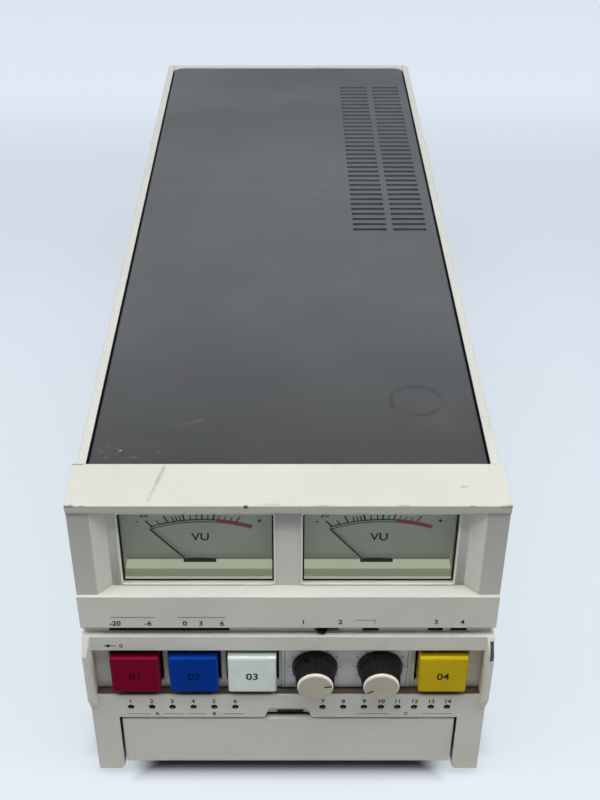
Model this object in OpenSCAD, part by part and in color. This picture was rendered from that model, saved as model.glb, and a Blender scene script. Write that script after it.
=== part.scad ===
// Broadcast cartridge player: cream case, charcoal cover, two level meters, four keys, two knobs
// and a flap over the cartridge slot. Millimetres, +Z up, the front faces -Y.

/* [Front rows from the floor up] */
// Height of the rubber feet
foot_h = 6; // [4:0.5:12]
// Height of the cartridge slot
slot_h = 28.8; // [28.6:0.1:33]
// Height of the legend face
legend_h = 12.2; // [11.6:0.1:20]
// Height of the alcove for keys and knobs
alcove_h = 23.4; // [21:0.1:28]
// Height of the strip above the alcove
strip_h = 6.9; // [5:0.1:12]
// Height of the sloped ledge above the strip
ledge_h = 0.3; // [0.1:0.1:2]
// Height of the indicator groove
groove_h = 4.2; // [3.6:0.1:5]
// Height of the scale band
band_h = 14.8; // [13:0.1:22]
// Height of the meter recess
recess_h = 37.4; // [36.6:0.1:42]
// Height of the hood lip
lip_h = 3.4; // [2.5:0.1:6]
// Rise of the hood towards the cover
hood_rise = 1.8; // [1:0.1:4]

/* [Case] */
// Width of the front bezels
front_w = 146; // [130:0.5:165]
// Step in from the bezels to the case, at each side
front_step = 1; // [0.2:0.1:3]
// Thickness of the side walls
wall_t = 3.8; // [3:0.1:4.4]
// Depth of the hood and of the bezel sides
hood_d = 20; // [18:0.5:24]
// Length of the cover bay
cover_l = 384; // [375:1:420]
// Thickness of the rear panel
rear_t = 4.2; // [3:0.1:6]
// Thickness of the base plate, which is also the cartridge floor
base_t = 3; // [2:0.1:3.1]
// Thickness of the top cover
cover_t = 1.6; // [1:0.1:2.5]
// Gap between the cover and the rim
cover_gap = 0.7; // [0.4:0.1:1.2]
// Radius of the rear cover corners
cover_r = 6; // [4:0.5:9]
// Rounding of the rims along the side walls
rim_r = 1.4; // [0.6:0.1:2.2]
// Width of the ledge that carries the cover
ledge_w = 4; // [3:0.5:6]

/* [Ventilation slots] */
// Number of rows
vent_rows = 35; // [10:1:38]
// Spacing of the rows
vent_pitch = 5.25; // [4:0.05:5.6]
// Width of a slot along the case
vent_slot = 2.4; // [1.2:0.1:3.4]
// Length of a slot across the case
vent_len = 15.3; // [8:0.1:15.6]
// Distance of the first row from the front plane
vent_y = 193.4; // [60:0.2:195]
// Distance of the slots from the edge of the cover
vent_side = 4.4; // [3:0.1:20]
// Width of the bar between the two columns
vent_bar = 2.8; // [2:0.1:10]

/* [Meters] */
// Depth of the meter recess
recess_d = 5; // [3.5:0.1:7]
// Set-back of the pillars behind the lip and the band
pillar_set = 1.2; // [0.6:0.1:2]
// Width of the frame outside a meter window
window_side = 3.6; // [3:0.1:8]
// Height of a meter window opening
window_h = 31.6; // [28:0.1:32]
// Height of the window opening above the sill
window_rise = 1.8; // [1.7:0.1:3.4]
// Width of the divider between the windows
divider_w = 9.8; // [9.2:0.1:12]
// Length of a needle from its pivot
needle_l = 25.8; // [20:0.1:27]
// Rest angle of the needles, left of upright
needle_rest = 40.3; // [30:0.1:44]

/* [Alcove] */
// Set-back of the button panel behind the front plane
panel_set = 4.2; // [3.8:0.1:6]
// Thickness of the button panel
panel_t = 1.5; // [1:0.1:2.5]
// Width of a push button
button_w = 17.4; // [14:0.1:17.6]
// Height of a push button
button_h = 17.5; // [13:0.1:17.8]
// Gap round a push button in its panel
button_gap = 0.95; // [0.6:0.05:1.2]
// Reach of a push button in front of the front plane
button_reach = 2; // [0.5:0.1:3.4]
// Travel of a push button
button_travel = 3; // [1:0.1:3.2]
// Reach of the cheeks in front of the front plane
cheek_reach = 4; // [2:0.1:4.5]
// Diameter of a knob at the panel
knob_d = 16.8; // [16:0.1:18]
// Diameter of a knob at its cap
knob_tip_d = 13.7; // [13.3:0.1:15]
// Reach of a knob in front of the front plane
knob_reach = 7; // [5.2:0.1:9]
// Diameter of a potentiometer shaft
shaft_d = 6; // [4:0.1:6.2]

/* [Cartridge door] */
// Width of the cartridge slot
slot_w = 126.2; // [120:0.1:140]
// Gap at the sides of the door
door_gap = 0.95; // [0.4:0.05:2]
// Thickness of the door
door_t = 2; // [1.2:0.1:2]
// Gap above the door
door_top_gap = 1.2; // [0.6:0.1:1.4]
// Gap between the door and the underside of the bezel
door_low_gap = 3.1; // [2.8:0.1:6]
// Diameter of the hinge pins
pin_d = 2; // [1.6:0.1:2.2]

/* [Transport] */
// Width of the cartridge bay between the rails
bay_w = 103; // [102.2:0.1:106]
// Distance of the capstan from the front plane
capstan_y = 150; // [140:0.5:155]
// Distance of the capstan to the right of the centre line
capstan_x = 20; // [16:0.5:24]
// Diameter of the capstan
capstan_d = 8; // [6:0.1:8.6]
// Diameter of the pinch roller
roller_d = 18; // [14:0.5:19]
// Length of the pinch roller
roller_l = 12; // [8:0.5:13]
// Thickness of the deck plate
deck_t = 5; // [4:0.5:6]

/* [Fits] */
// Radial clearance of the running fits
run_gap = 0.05; // [0.03:0.01:0.08]
// Gap around pieces that only stand beside each other
side_gap = 0.4; // [0.3:0.05:0.5]

/* [Hidden] */
$fn = 48;
cream = [0.80, 0.79, 0.73];
charcoal = [0.30, 0.31, 0.32];
black = [0.09, 0.09, 0.10];
steel = [0.66, 0.67, 0.68];
alloy = [0.74, 0.75, 0.76];
board_green = [0.12, 0.33, 0.20];

// Heights of the rows
slot_z = foot_h + slot_h;
alcove_z = slot_z + legend_h;
strip_z = alcove_z + alcove_h;
ledge_z = strip_z + strip_h;
groove_z = ledge_z + ledge_h;
band_z = groove_z + groove_h;
sill_z = band_z + band_h;
lip_z = sill_z + recess_h;
top_z = lip_z + lip_h + hood_rise;
floor_z = foot_h + base_t;

// Widths and depths
front_x = front_w / 2;
case_x = front_x - front_step;
inner_x = case_x - wall_t;
plate_t = 2.2;
rear_y = hood_d + cover_l;
body_d = rear_y + rear_t;
fuse_reach = 9;
front_edge = -knob_reach;
rear_edge = body_d + fuse_reach;
y_shift = -(front_edge + rear_edge) / 2;
cover_z = top_z - cover_t - 0.3;

// Meter places
recess_x = front_x - 12.2;
face_x = front_x - 7.2;
window_w = recess_x - window_side - divider_w / 2;
meter_x = divider_w / 2 + window_w / 2;
window_z = sill_z + window_rise;
window_top = window_z + window_h;
recess_t = 1.5;
sill_up = 1;
lip_lean = 0.5;
case_gap = 0.2;
rim_w = 0.4;
frame_w = 0.5;
frame_out = 0.3;
rim_set = 1.3;
glass_t = 1.2;
glass_edge = case_gap + rim_w;
glass_y = recess_d + rim_set + 0.4;
dial_y = recess_d + 9.5;
dial_t = 0.8;
dial_floor = window_z + 2.8;
dial_step = dial_y - 5;
pivot_z = dial_floor - 5;
needle_y = dial_y - 1;
case_back = recess_d + 31;

// Alcove places
cheek_t = 2.7;
alcove_x = front_x - cheek_t;
button_mid = alcove_z + 12.6;
trough_front = 0.6;
trough_h = 1.2;
knob_z = alcove_z + 11.4;

// The row of keys and knobs shares its free width between these gaps, from left to right
side_left = 6.4;
key_gap = 3.7;
plate_gap_left = 2;
plate_rim_left = 3.6;
knob_gap = 6.9;
plate_rim_right = 2.7;
plate_gap_right = 2.7;
side_right = 5.7;
row_free = 2 * alcove_x - 4 * button_w - 2 * knob_d;
row_fill = row_free / (side_left + 2 * key_gap + plate_gap_left + plate_rim_left + knob_gap
    + plate_rim_right + plate_gap_right + side_right);
red_x = -alcove_x + row_fill * side_left + button_w / 2;
key_pitch = button_w + row_fill * key_gap;
yellow_x = alcove_x - row_fill * side_right - button_w / 2;
button_x = [red_x, red_x + key_pitch, red_x + 2 * key_pitch, yellow_x];
knob_plate_x = [button_x[2] + button_w / 2 + row_fill * plate_gap_left,
    yellow_x - button_w / 2 - row_fill * plate_gap_right];
knob_x = [knob_plate_x[0] + row_fill * plate_rim_left + knob_d / 2,
    knob_plate_x[1] - row_fill * plate_rim_right - knob_d / 2];
housing_side = min(1.4, row_fill * key_gap / 2 - 0.4);

panel_back = panel_set + panel_t;
housing_back = panel_back + 22;
knob_plate_t = 0.6;
stem_d = 5;
cap_back = panel_back + 0.8;
knob_back = panel_set - knob_plate_t - side_gap;
cap_t = 1.2;
cap_edge = 0.7;
skirt_t = 2;
grub_d = 1.8;
grub_turn = -108;
left_mark = 82;
right_mark = -118;

// Indicator places
groove_set = 2.4;
groove_t = 1.5;
strip_windows = [[-63.5, -20.8], [49.4, 54.8], [57.4, 63.3]];
lever_window = [9.4, 17.9];
key_window = [26.3, 32.1];
window_mid = groove_z + 1.2;
lamp_slit = 1.9;
lamp_z = alcove_z - 6.6;
green_x = [-35.1, -27.4, -19.6, 28.1, 34.4, 40.5, 46.7, 52.9, 58.9];
dark_x = [-58.3, -50.5, -42.9, 12.7, 20.4];
lamp_d = 2.4;
sensor_x = [-4.2, 5.7];
sensor_h = 1.4;

// Door places
door_set = 0.5;
bezel_low = foot_h - 0.8;
hinge_y = panel_set;
hinge_z = slot_z + 2.4;
barrel_r = hinge_y - plate_t - 0.3;
door_top = slot_z - door_top_gap;
door_low = foot_h + door_low_gap;
door_x = slot_w / 2 - door_gap;
door_edge = 0.5;
lug_in = 47.5;
lug_w = 6;
post_in = lug_in + lug_w + side_gap;
post_w = 4.5;

// Transport places
deck_z = slot_z + 5.2;
deck_top = deck_z + deck_t;
deck_front = 40;
deck_back = 205;
bridge_z = deck_top + 30;
bridge_t = 3;
bridge_half = 34;
bridge_bore = 16;
solenoid_gap = 16;
solenoid_l = 34;
rail_front = 36;
rail_back = 138;
arm_y = capstan_y - capstan_d / 2 - roller_d / 2 - 0.35;
arm_z = deck_top + 13;
roller_z = floor_z + 12;
arm_l = arm_z - roller_z;
pin_r = 2;
arm_shaft_d = 6;
crank_x = min(capstan_x + 27, inner_x - 14.5);
crank_l = 8;
crank_t = 5;
crank_pin_d = 3;
plunger_z = arm_z + crank_l * 0.85;
plunger_d = 8;
motor_d = 54;
motor_h = 34;

// Rear places
inlet_x = inner_x - 24.2;
inlet_z = foot_h + 34;
fuse_x = inlet_x - 32;
socket_first = -inner_x + 18.2;
socket_pitch = (2 * inner_x - 46.4) / 3;
socket_x = [for (k = [0 : 3]) socket_first + k * socket_pitch];
socket_flange = min(26, socket_pitch - 1);
socket_z = foot_h + 100;
remote_x = -30;
remote_z = foot_h + 60;
block_w = 10;
front_block_w = 4.6;
shelf_x = 46;
shelf_y = [225, 275];
foot_x = inner_x - 10.2;
foot_y = [48, 372];

// Power supply and audio board
transformer_side = 34.2;
transformer_back = 96;
transformer_x = inner_x - transformer_side;
transformer_y = rear_y - transformer_back;
core = [48, 16, 52];
coil = [36, 36, 32];
coil_rise = 10;
tray = [56, 20, 2];
power_x = -inner_x + 10.2;
power_y = rear_y - 99;
power_w = 58;
power_l = 80;
power_rise = 8;
board_t = 1.6;
part_h = 35;
audio_x = -inner_x + 8.2;
audio_y = deck_back + 7;
audio_l = 80;

// Box from one corner to the opposite one
module box(a, b) {
    translate(a) cube(b - a);
}

// Side profile with points [y, z], from x0 to x1
module profile(x0, x1, points) {
    translate([x0, 0, 0]) rotate([90, 0, 90]) linear_extrude(x1 - x0) polygon(points);
}

// Round bar along Y from y0 to y1
module bar_y(x, z, d, y0, y1) {
    translate([x, y0, z]) rotate([-90, 0, 0]) cylinder(d = d, h = y1 - y0);
}

// Round bar along X from x0 to x1
module bar_x(y, z, d, x0, x1) {
    translate([x0, y, z]) rotate([0, 90, 0]) cylinder(d = d, h = x1 - x0);
}

// Upright round bar
module bar_z(x, y, d, z0, z1) {
    translate([x, y, z0]) cylinder(d = d, h = z1 - z0);
}

// Rectangle with round corners, about the origin
module round_rect(w, h, r) {
    square([w - 2 * r, h], center = true);
    square([w, h - 2 * r], center = true);
    for (sx = [-1, 1], sy = [-1, 1])
        translate([sx * (w / 2 - r), sy * (h / 2 - r)]) circle(r);
}

// Rectangle in the front view, extruded from y0 back to y1
module front_pad(x, z, w, h, r, y0, y1) {
    translate([x, y1, z]) rotate([90, 0, 0]) linear_extrude(y1 - y0) round_rect(w, h, r);
}

// Places of the corner blocks: [side, y0, y1, z0, width]
function block_list() = [for (s = [-1, 1]) each [
    [s, 8, 34, floor_z, front_block_w],
    [s, 8, 34, sill_z + 14, front_block_w],
    [s, rear_y - 12, rear_y, floor_z, block_w],
    [s, rear_y - 12, rear_y, cover_z - 18, block_w]]];

module base_plate() {
    color(alloy) difference() {
        box([-inner_x, 14, foot_h], [inner_x, rear_y, floor_z]);
        for (s = [-1, 1], y = foot_y)
            bar_z(s * foot_x, y, 6 + 2 * run_gap, foot_h - 1, floor_z + 1);
        for (s = [-1, 1], y = shelf_y)
            bar_z(s * shelf_x, y, 4.2, foot_h - 1, floor_z + 1);
    }
}

module side_wall() {
    difference() {
        union() {
            box([inner_x, hood_d, foot_h], [case_x, body_d, top_z - rim_r]);
            box([inner_x, hood_d, top_z - rim_r - 1], [case_x - rim_r, body_d, top_z]);
            bar_y(case_x - rim_r, top_z - rim_r, 2 * rim_r, hood_d, body_d);
            box([inner_x - ledge_w, hood_d, cover_z - 3], [inner_x + 0.5, rear_y, cover_z]);
        }
        for (b = block_list())
            if (b[0] > 0)
                side_screw_hole(b);
    }
}

module side_screw_hole(b) {
    y = max((b[1] + b[2]) / 2, hood_d + 6);
    bar_x(y, b[3] + 7, 3.4, inner_x - 1, case_x + 1);
    bar_x(y, b[3] + 7, 6.2, case_x - 2, case_x + 1);
}

module side_wall_left() {
    color(cream) mirror([1, 0, 0]) side_wall();
}

module side_wall_right() {
    color(cream) side_wall();
}

module rear_panel() {
    color(cream) difference() {
        union() {
            box([-inner_x, rear_y, foot_h], [inner_x, body_d, top_z]);
            for (s = [-1, 1])
                translate([s * (inner_x - cover_r), rear_y - cover_r, cover_z]) corner_fill(s);
        }
        for (b = block_list())
            if (b[1] > hood_d)
                rear_screw_hole(b);
        for (x = socket_x)
            bar_y(x, socket_z, 24, rear_y - 1, body_d + 1);
        box([remote_x - 20, rear_y - 1, remote_z - 6], [remote_x + 20, body_d + 1, remote_z + 6]);
        box([inlet_x - 14, rear_y - 1, inlet_z - 10.5], [inlet_x + 14, body_d + 1, inlet_z + 10.5]);
        bar_y(fuse_x, inlet_z, 12.4, rear_y - 1, body_d + 1);
    }
}

// Solid between the square inner corner and the round corner of the cover
module corner_fill(s) {
    difference() {
        box([s > 0 ? 0 : -cover_r, 0, 0], [s > 0 ? cover_r : 0, cover_r + 0.5, top_z - cover_z]);
        translate([0, 0, -1]) cylinder(r = cover_r, h = top_z - cover_z + 2);
    }
}

module rear_screw_hole(b) {
    x = b[0] * (inner_x - block_w / 2 + 1);
    bar_y(x, b[3] + 4, 3.4, rear_y - 1, body_d + 1);
    bar_y(x, b[3] + 4, 6.2, body_d - 2, body_d + 1);
}

module top_cover() {
    w = inner_x - cover_gap;
    y0 = hood_d + 0.3;
    y1 = rear_y - cover_gap;
    r = cover_r - cover_gap;
    color(charcoal) translate([0, 0, cover_z]) linear_extrude(cover_t) difference() {
        union() {
            translate([-w, y0]) square([2 * w, y1 - y0 - r]);
            translate([-w + r, y0]) square([2 * (w - r), y1 - y0]);
            for (s = [-1, 1])
                translate([s * (w - r), y1 - r]) circle(r);
        }
        for (k = [0 : vent_rows - 1], x = [w - vent_side - 2 * vent_len - vent_bar, w - vent_side - vent_len])
            translate([x, vent_y + k * vent_pitch - vent_slot / 2]) square([vent_len, vent_slot]);
    }
}

module corner_blocks() {
    color(alloy) for (b = block_list()) {
        x = b[0] > 0 ? inner_x - b[4] : -inner_x;
        sy = max((b[1] + b[2]) / 2, hood_d + 6);
        difference() {
            box([x, b[1], b[3]], [x + b[4], b[2], b[3] + 14]);
            bar_x(sy, b[3] + 7, 3.1, b[0] > 0 ? x + 1 : x - 1, b[0] > 0 ? x + 20 : x + b[4] - 1);
            if (b[1] > hood_d)
                bar_y(b[0] * (inner_x - block_w / 2 + 1), b[3] + 4, 3.1, b[2] - 6, b[2] + 1);
        }
    }
}

module case_screws() {
    color(steel) for (b = block_list()) {
        y = max((b[1] + b[2]) / 2, hood_d + 6);
        end = inner_x - b[4] + 1.2;
        mirror([b[0] > 0 ? 0 : 1, 0, 0]) difference() {
            union() {
                bar_x(y, b[3] + 7, 3, end, case_x - 1.5);
                bar_x(y, b[3] + 7, 5.4, case_x - 2, case_x - 0.2);
            }
            bar_x(y, b[3] + 7, 2.2, case_x - 1.2, case_x);
        }
        if (b[1] > hood_d)
            translate([b[0] * (inner_x - block_w / 2 + 1), 0, b[3] + 4]) difference() {
                union() {
                    bar_y(0, 0, 3, b[2] - 5, body_d - 1.5);
                    bar_y(0, 0, 5.4, body_d - 2, body_d - 0.2);
                }
                bar_y(0, 0, 2.2, body_d - 1.2, body_d);
            }
    }
}

module feet() {
    color(black) for (s = [-1, 1], y = foot_y) {
        translate([s * foot_x, y, 0]) cylinder(d1 = 14, d2 = 17, h = foot_h);
        bar_z(s * foot_x, y, 6, foot_h - 0.5, floor_z + 1.5);
    }
}

module pillar() {
    translate([0, 0, band_z]) linear_extrude(lip_z + 1 - band_z) polygon([
        [front_x, pillar_set], [front_x, hood_d], [inner_x, hood_d], [inner_x, recess_d + recess_t],
        [recess_x - 1, recess_d + recess_t], [recess_x - 1, recess_d], [recess_x, recess_d],
        [face_x, pillar_set]]);
}

module meter_bezel() {
    color(cream) difference() {
        union() {
            profile(-front_x, front_x, [[lip_lean, lip_z], [0, lip_z + lip_h], [hood_d, top_z],
                [hood_d, top_z - 3], [recess_d + recess_t, lip_z]]);
            pillar();
            mirror([1, 0, 0]) pillar();
            box([-recess_x, recess_d, sill_z - 2], [recess_x, recess_d + recess_t, lip_z + 1]);
            for (s = [-1, 1])
                front_pad(s * meter_x, window_z + window_h / 2, window_w + 2 * frame_w, window_h + 2 * frame_w,
                    1.2, recess_d - frame_out, recess_d + recess_t);
            profile(-front_x, front_x, [[0, band_z], [0, sill_z], [pillar_set, sill_z],
                [recess_d, sill_z + sill_up], [recess_d + recess_t, sill_z + sill_up],
                [recess_d + recess_t, sill_z - 2], [plate_t, sill_z - 2], [plate_t, band_z + 2],
                [4, band_z + 2], [4, band_z]]);
        }
        for (s = [-1, 1])
            front_pad(s * meter_x, window_z + window_h / 2, window_w, window_h, 0.8, 0.1 - 1, recess_d + 3);
    }
}

module cheek() {
    x_in = front_x - cheek_t;
    slope = cheek_reach * 0.3;
    difference() {
        profile(x_in, front_x, [[0, ledge_z], [-cheek_reach, strip_z + 0.6],
            [-cheek_reach, alcove_z + 1.4], [0, alcove_z - 6.9], [panel_set, alcove_z - 6.9],
            [panel_set, ledge_z]]);
        translate([0, 0, alcove_z - 8]) linear_extrude(ledge_z - alcove_z + 10)
            polygon([[x_in - 1, 0], [x_in, 0], [x_in + slope, -cheek_reach - 0.1],
                [x_in - 1, -cheek_reach - 0.1]]);
    }
}

module bezel_side() {
    x_in = slot_w / 2;
    box([max(inner_x, x_in), 0, bezel_low], [front_x, hood_d, slot_z + 1]);
    box([inner_x, 0, slot_z], [front_x, hood_d, ledge_z - 2]);
    difference() {
        box([x_in, 0, bezel_low], [front_x, 5, slot_z]);
        translate([x_in, 0, bezel_low]) rotate([0, 45, 0]) cube([2, 20, 2], center = true);
    }
    cheek();
}

module hinge_post() {
    difference() {
        box([post_in, plate_t - 0.5, slot_z + 0.4], [post_in + post_w, hinge_y + 2, lamp_z - 1.5]);
        bar_x(hinge_y, hinge_z, pin_d, post_in - 1, post_in + post_w + 1);
    }
}

module control_bezel() {
    color(cream) difference() {
        union() {
            for (s = [0, 1])
                mirror([s, 0, 0]) {
                    bezel_side();
                    hinge_post();
                }
            profile(-front_x, front_x, [[0, strip_z], [0, ledge_z], [groove_set, groove_z], [4, groove_z],
                [4, ledge_z - 1], [hood_d, ledge_z - 1], [hood_d, ledge_z - 3], [plate_t, ledge_z - 3],
                [plate_t, strip_z + 2], [panel_back, strip_z + 2], [panel_back, strip_z]]);
            profile(-front_x, front_x, [[0, slot_z], [0, alcove_z], [panel_back, alcove_z],
                [panel_back, alcove_z - 2], [plate_t, alcove_z - 2], [plate_t, slot_z]]);
            box([-10, plate_t, slot_z], [10, plate_t + 1.6, slot_z + 7]);
        }
        box([-alcove_x, -cheek_reach - 1, alcove_z], [alcove_x, panel_back, strip_z]);
        box([-alcove_x, trough_front, alcove_z - trough_h], [alcove_x, panel_back, alcove_z + 1]);
        translate([0, 2.5, slot_z]) rotate([90, 0, 0]) linear_extrude(3)
            polygon([[-8.8, -1], [8.8, -1], [8.8, 0], [7, 5.1], [-7, 5.1], [-8.8, 0]]);
        box([sensor_x[0] - run_gap, 0, slot_z - 1], [sensor_x[1] + run_gap, 10, slot_z + sensor_h + run_gap]);
        for (x = concat(green_x, dark_x))
            bar_y(x, lamp_z, lamp_d + 2 * run_gap, -1, plate_t + 1);
        box([front_x - 1.5, -cheek_reach - 1, ledge_z - 8.5], [front_x + 1, 1.2, ledge_z - 1.5]);
    }
}

module indicator_strip() {
    color(cream) difference() {
        box([-front_x + 1, groove_set, groove_z], [front_x - 1, groove_set + groove_t, band_z]);
        for (w = concat(strip_windows, [lever_window, key_window]))
            box([w[0], 0, window_mid - lamp_slit / 2], [w[1], 8, window_mid + lamp_slit / 2]);
    }
}

module button_panel() {
    color(cream) difference() {
        box([-alcove_x, panel_set, alcove_z - trough_h], [alcove_x, panel_back, strip_z]);
        for (x = button_x)
            front_pad(x, button_mid, button_w + 2 * button_gap, button_h + 2 * button_gap, 1, 0, 12);
        for (x = knob_x)
            bar_y(x, knob_z, 7.4, 0, 12);
    }
}

module knob_panel() {
    color([0.72, 0.72, 0.73]) difference() {
        box([knob_plate_x[0], panel_set - knob_plate_t, alcove_z + 0.3],
            [knob_plate_x[1], panel_set, strip_z - 0.3]);
        for (x = knob_x)
            bar_y(x, knob_z, 7.4, 0, 12);
    }
}

module band_lamps() {
    color(black) for (w = strip_windows)
        box([w[0] + 0.05, groove_set + 0.3, window_mid - lamp_slit / 2 + 0.05],
            [w[1] - 0.05, groove_set + 4, window_mid + lamp_slit / 2 - 0.05]);
}

module green_lamps() {
    color([0.07, 0.20, 0.12]) for (x = green_x)
        bar_y(x, lamp_z, lamp_d, 0.2, plate_t + 1.6);
}

module dark_lamps() {
    color([0.10, 0.05, 0.05]) for (x = dark_x)
        bar_y(x, lamp_z, lamp_d, 0.2, plate_t + 1.6);
}

module notch_sensor() {
    color(black) box([sensor_x[0], 2.6, slot_z], [sensor_x[1], plate_t + 1.6, slot_z + sensor_h]);
}

module push_button(x) {
    difference() {
        union() {
            front_pad(x, button_mid, button_w - 0.6, button_h - 0.6, 0.8, -button_reach, 2);
            front_pad(x, button_mid, button_w, button_h, 0.8, -button_reach + 0.3, cap_back);
        }
        front_pad(x, button_mid, button_w - 2.8, button_h - 2.8, 0.5, 1, cap_back + 1);
    }
    bar_y(x, button_mid, stem_d, 0.5, panel_back + 15);
}

module red_button() {
    color([0.42, 0.05, 0.14]) push_button(button_x[0]);
}

module blue_button() {
    color([0.05, 0.18, 0.55]) push_button(button_x[1]);
}

module white_button() {
    color([0.86, 0.88, 0.86]) push_button(button_x[2]);
}

module yellow_button() {
    color([0.66, 0.55, 0.14]) push_button(button_x[3]);
}

module button_housings() {
    color(black) for (x = button_x)
        difference() {
            front_pad(x, button_mid, button_w + 2 * housing_side, button_h + 3.2, 1,
                panel_back, housing_back);
            front_pad(x, button_mid, button_w + 1, button_h + 1, 0.8, 0, cap_back + button_travel + 0.5);
            bar_y(x, button_mid, stem_d + 2 * run_gap, 0, housing_back - 1.5);
        }
}

module slide_lever() {
    color(black) {
        translate([0, 0, window_mid - 0.6]) linear_extrude(1.2)
            polygon([[10.1, groove_set + 3.2], [10.1, groove_set - 0.2], [11.1, 0.6], [12.8, 0.6],
                [13.8, groove_set - 0.2], [13.8, groove_set + 3.2]]);
        box([9.7, groove_set + 2.2, window_mid - 0.65], [14.2, groove_set + 3.2, window_mid + 0.65]);
    }
}

module small_key() {
    color(black) box([key_window[0] + side_gap, groove_set + 0.1, window_mid - 0.65],
        [key_window[1] - side_gap, groove_set + 4, window_mid + 0.65]);
}

module strip_switches() {
    color([0.16, 0.16, 0.18]) {
        difference() {
            box([lever_window[0] - 3, groove_set + groove_t, groove_z + 0.1],
                [lever_window[1] + 3, groove_set + 8, band_z - 0.1]);
            box([lever_window[0] - 0.4, 0, window_mid - 0.95],
                [lever_window[1] + 0.4, groove_set + 3.6, window_mid + 0.95]);
        }
        difference() {
            box([key_window[0] - 2, groove_set + groove_t, groove_z + 0.1],
                [key_window[1] + 2, groove_set + 10, band_z - 0.1]);
            box([key_window[0], 0, window_mid - 0.95], [key_window[1], groove_set + 6, window_mid + 0.95]);
        }
    }
}

module door_lug() {
    difference() {
        union() {
            bar_x(hinge_y, hinge_z, 2 * barrel_r, lug_in, lug_in + lug_w);
            profile(lug_in, lug_in + lug_w, [[hinge_y - barrel_r, hinge_z], [hinge_y + barrel_r, hinge_z],
                [door_set + door_t + 0.6, door_top - 8], [door_set + door_t - 0.5, door_top - 8],
                [door_set + door_t - 0.5, door_top - 1.5]]);
        }
        bar_x(hinge_y, hinge_z, pin_d + 2 * run_gap, lug_in - 1, lug_in + lug_w + 1);
    }
}

module cartridge_door() {
    color(cream) {
        profile(-door_x, door_x, [[door_set, door_low], [door_set, door_top - door_edge],
            [door_set + door_edge, door_top], [door_set + door_t, door_top], [door_set + door_t, door_low]]);
        door_lug();
        mirror([1, 0, 0]) door_lug();
    }
}

module door_pins() {
    color(steel) for (s = [0, 1])
        mirror([s, 0, 0]) bar_x(hinge_y, hinge_z, pin_d, lug_in - 0.5, post_in + post_w);
}

// Fluted grip that narrows from the skirt to the cap
module knob_grip(x) {
    length = knob_back + knob_reach - cap_t;
    grip_d = knob_d - 1.5;
    lean = atan((grip_d - knob_tip_d) / 2 / length);
    difference() {
        translate([x, knob_back, knob_z]) rotate([90, 0, 0])
            cylinder(d1 = grip_d, d2 = knob_tip_d, h = length);
        for (a = [0 : 18 : 342])
            translate([x, 0, knob_z]) rotate([0, a, 0]) translate([0, knob_back + 0.01, grip_d / 2 + 0.35])
                rotate([90 + lean, 0, 0]) cylinder(r = 0.8, h = length + 2);
    }
}

// Knob with a hole for its grub screw, set at an angle from the mark on the cap
module knob(x, turn) {
    difference() {
        union() {
            knob_grip(x);
            translate([x, knob_back, knob_z]) rotate([90, 0, 0])
                cylinder(d1 = knob_d, d2 = knob_d - 0.8, h = skirt_t);
        }
        bar_y(x, knob_z, 12.4, knob_back - 2.6, knob_back + 1);
        bar_y(x, knob_z, shaft_d + 0.1, -knob_reach + 3, knob_back + 1);
        translate([x, 0, knob_z]) rotate([0, turn + grub_turn, 0]) cylinder(d = grub_d, h = knob_d);
    }
}

module knob_cap(x, turn) {
    cap_d = knob_tip_d - 0.8;
    color([0.86, 0.83, 0.72]) translate([x, -knob_reach, knob_z]) rotate([0, turn, 0]) difference() {
        union() {
            bar_y(0, 0, cap_d, cap_edge, cap_t);
            translate([0, cap_edge, 0]) rotate([90, 0, 0])
                cylinder(d1 = cap_d, d2 = cap_d - 1.2, h = cap_edge);
        }
        box([-0.4, -1, 3.2], [0.4, 0.5, knob_tip_d / 2]);
    }
}

module pot_shaft(x) {
    color(steel) bar_y(x, knob_z, shaft_d, -knob_reach + 3.2, panel_back + 8);
}

module left_knob() {
    color(black) knob(knob_x[0], left_mark);
}

module left_knob_cap() {
    knob_cap(knob_x[0], left_mark);
}

module left_pot_shaft() {
    pot_shaft(knob_x[0]);
}

module right_knob() {
    color(black) knob(knob_x[1], right_mark);
}

module right_knob_cap() {
    knob_cap(knob_x[1], right_mark);
}

module right_pot_shaft() {
    pot_shaft(knob_x[1]);
}

module pot_bodies() {
    color(alloy) for (x = knob_x)
        difference() {
            union() {
                bar_y(x, knob_z, 17, panel_back, panel_back + 10);
                bar_y(x, knob_z, 7, panel_set - knob_plate_t - 1.8, panel_back + 1);
            }
            bar_y(x, knob_z, shaft_d > 6.6 ? 6.6 : shaft_d + 2 * run_gap, -9, panel_back + 9);
        }
}

module pot_nuts() {
    color(steel) for (x = knob_x)
        difference() {
            translate([x, panel_set - knob_plate_t, knob_z]) rotate([90, 0, 0])
                cylinder(d = 11, h = 1.8, $fn = 6);
            bar_y(x, knob_z, 7.04, -9, 12);
        }
}

module front_board() {
    color(board_green) box([-inner_x + 4.2, housing_back, alcove_z - 2],
        [inner_x - 4.2, housing_back + board_t, strip_z + 3]);
    color(black) for (x = [-50, -25, 5, 30, 52])
        box([x - 6, housing_back + 1.5, alcove_z + 6], [x + 6, housing_back + 5, alcove_z + 14]);
}

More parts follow.
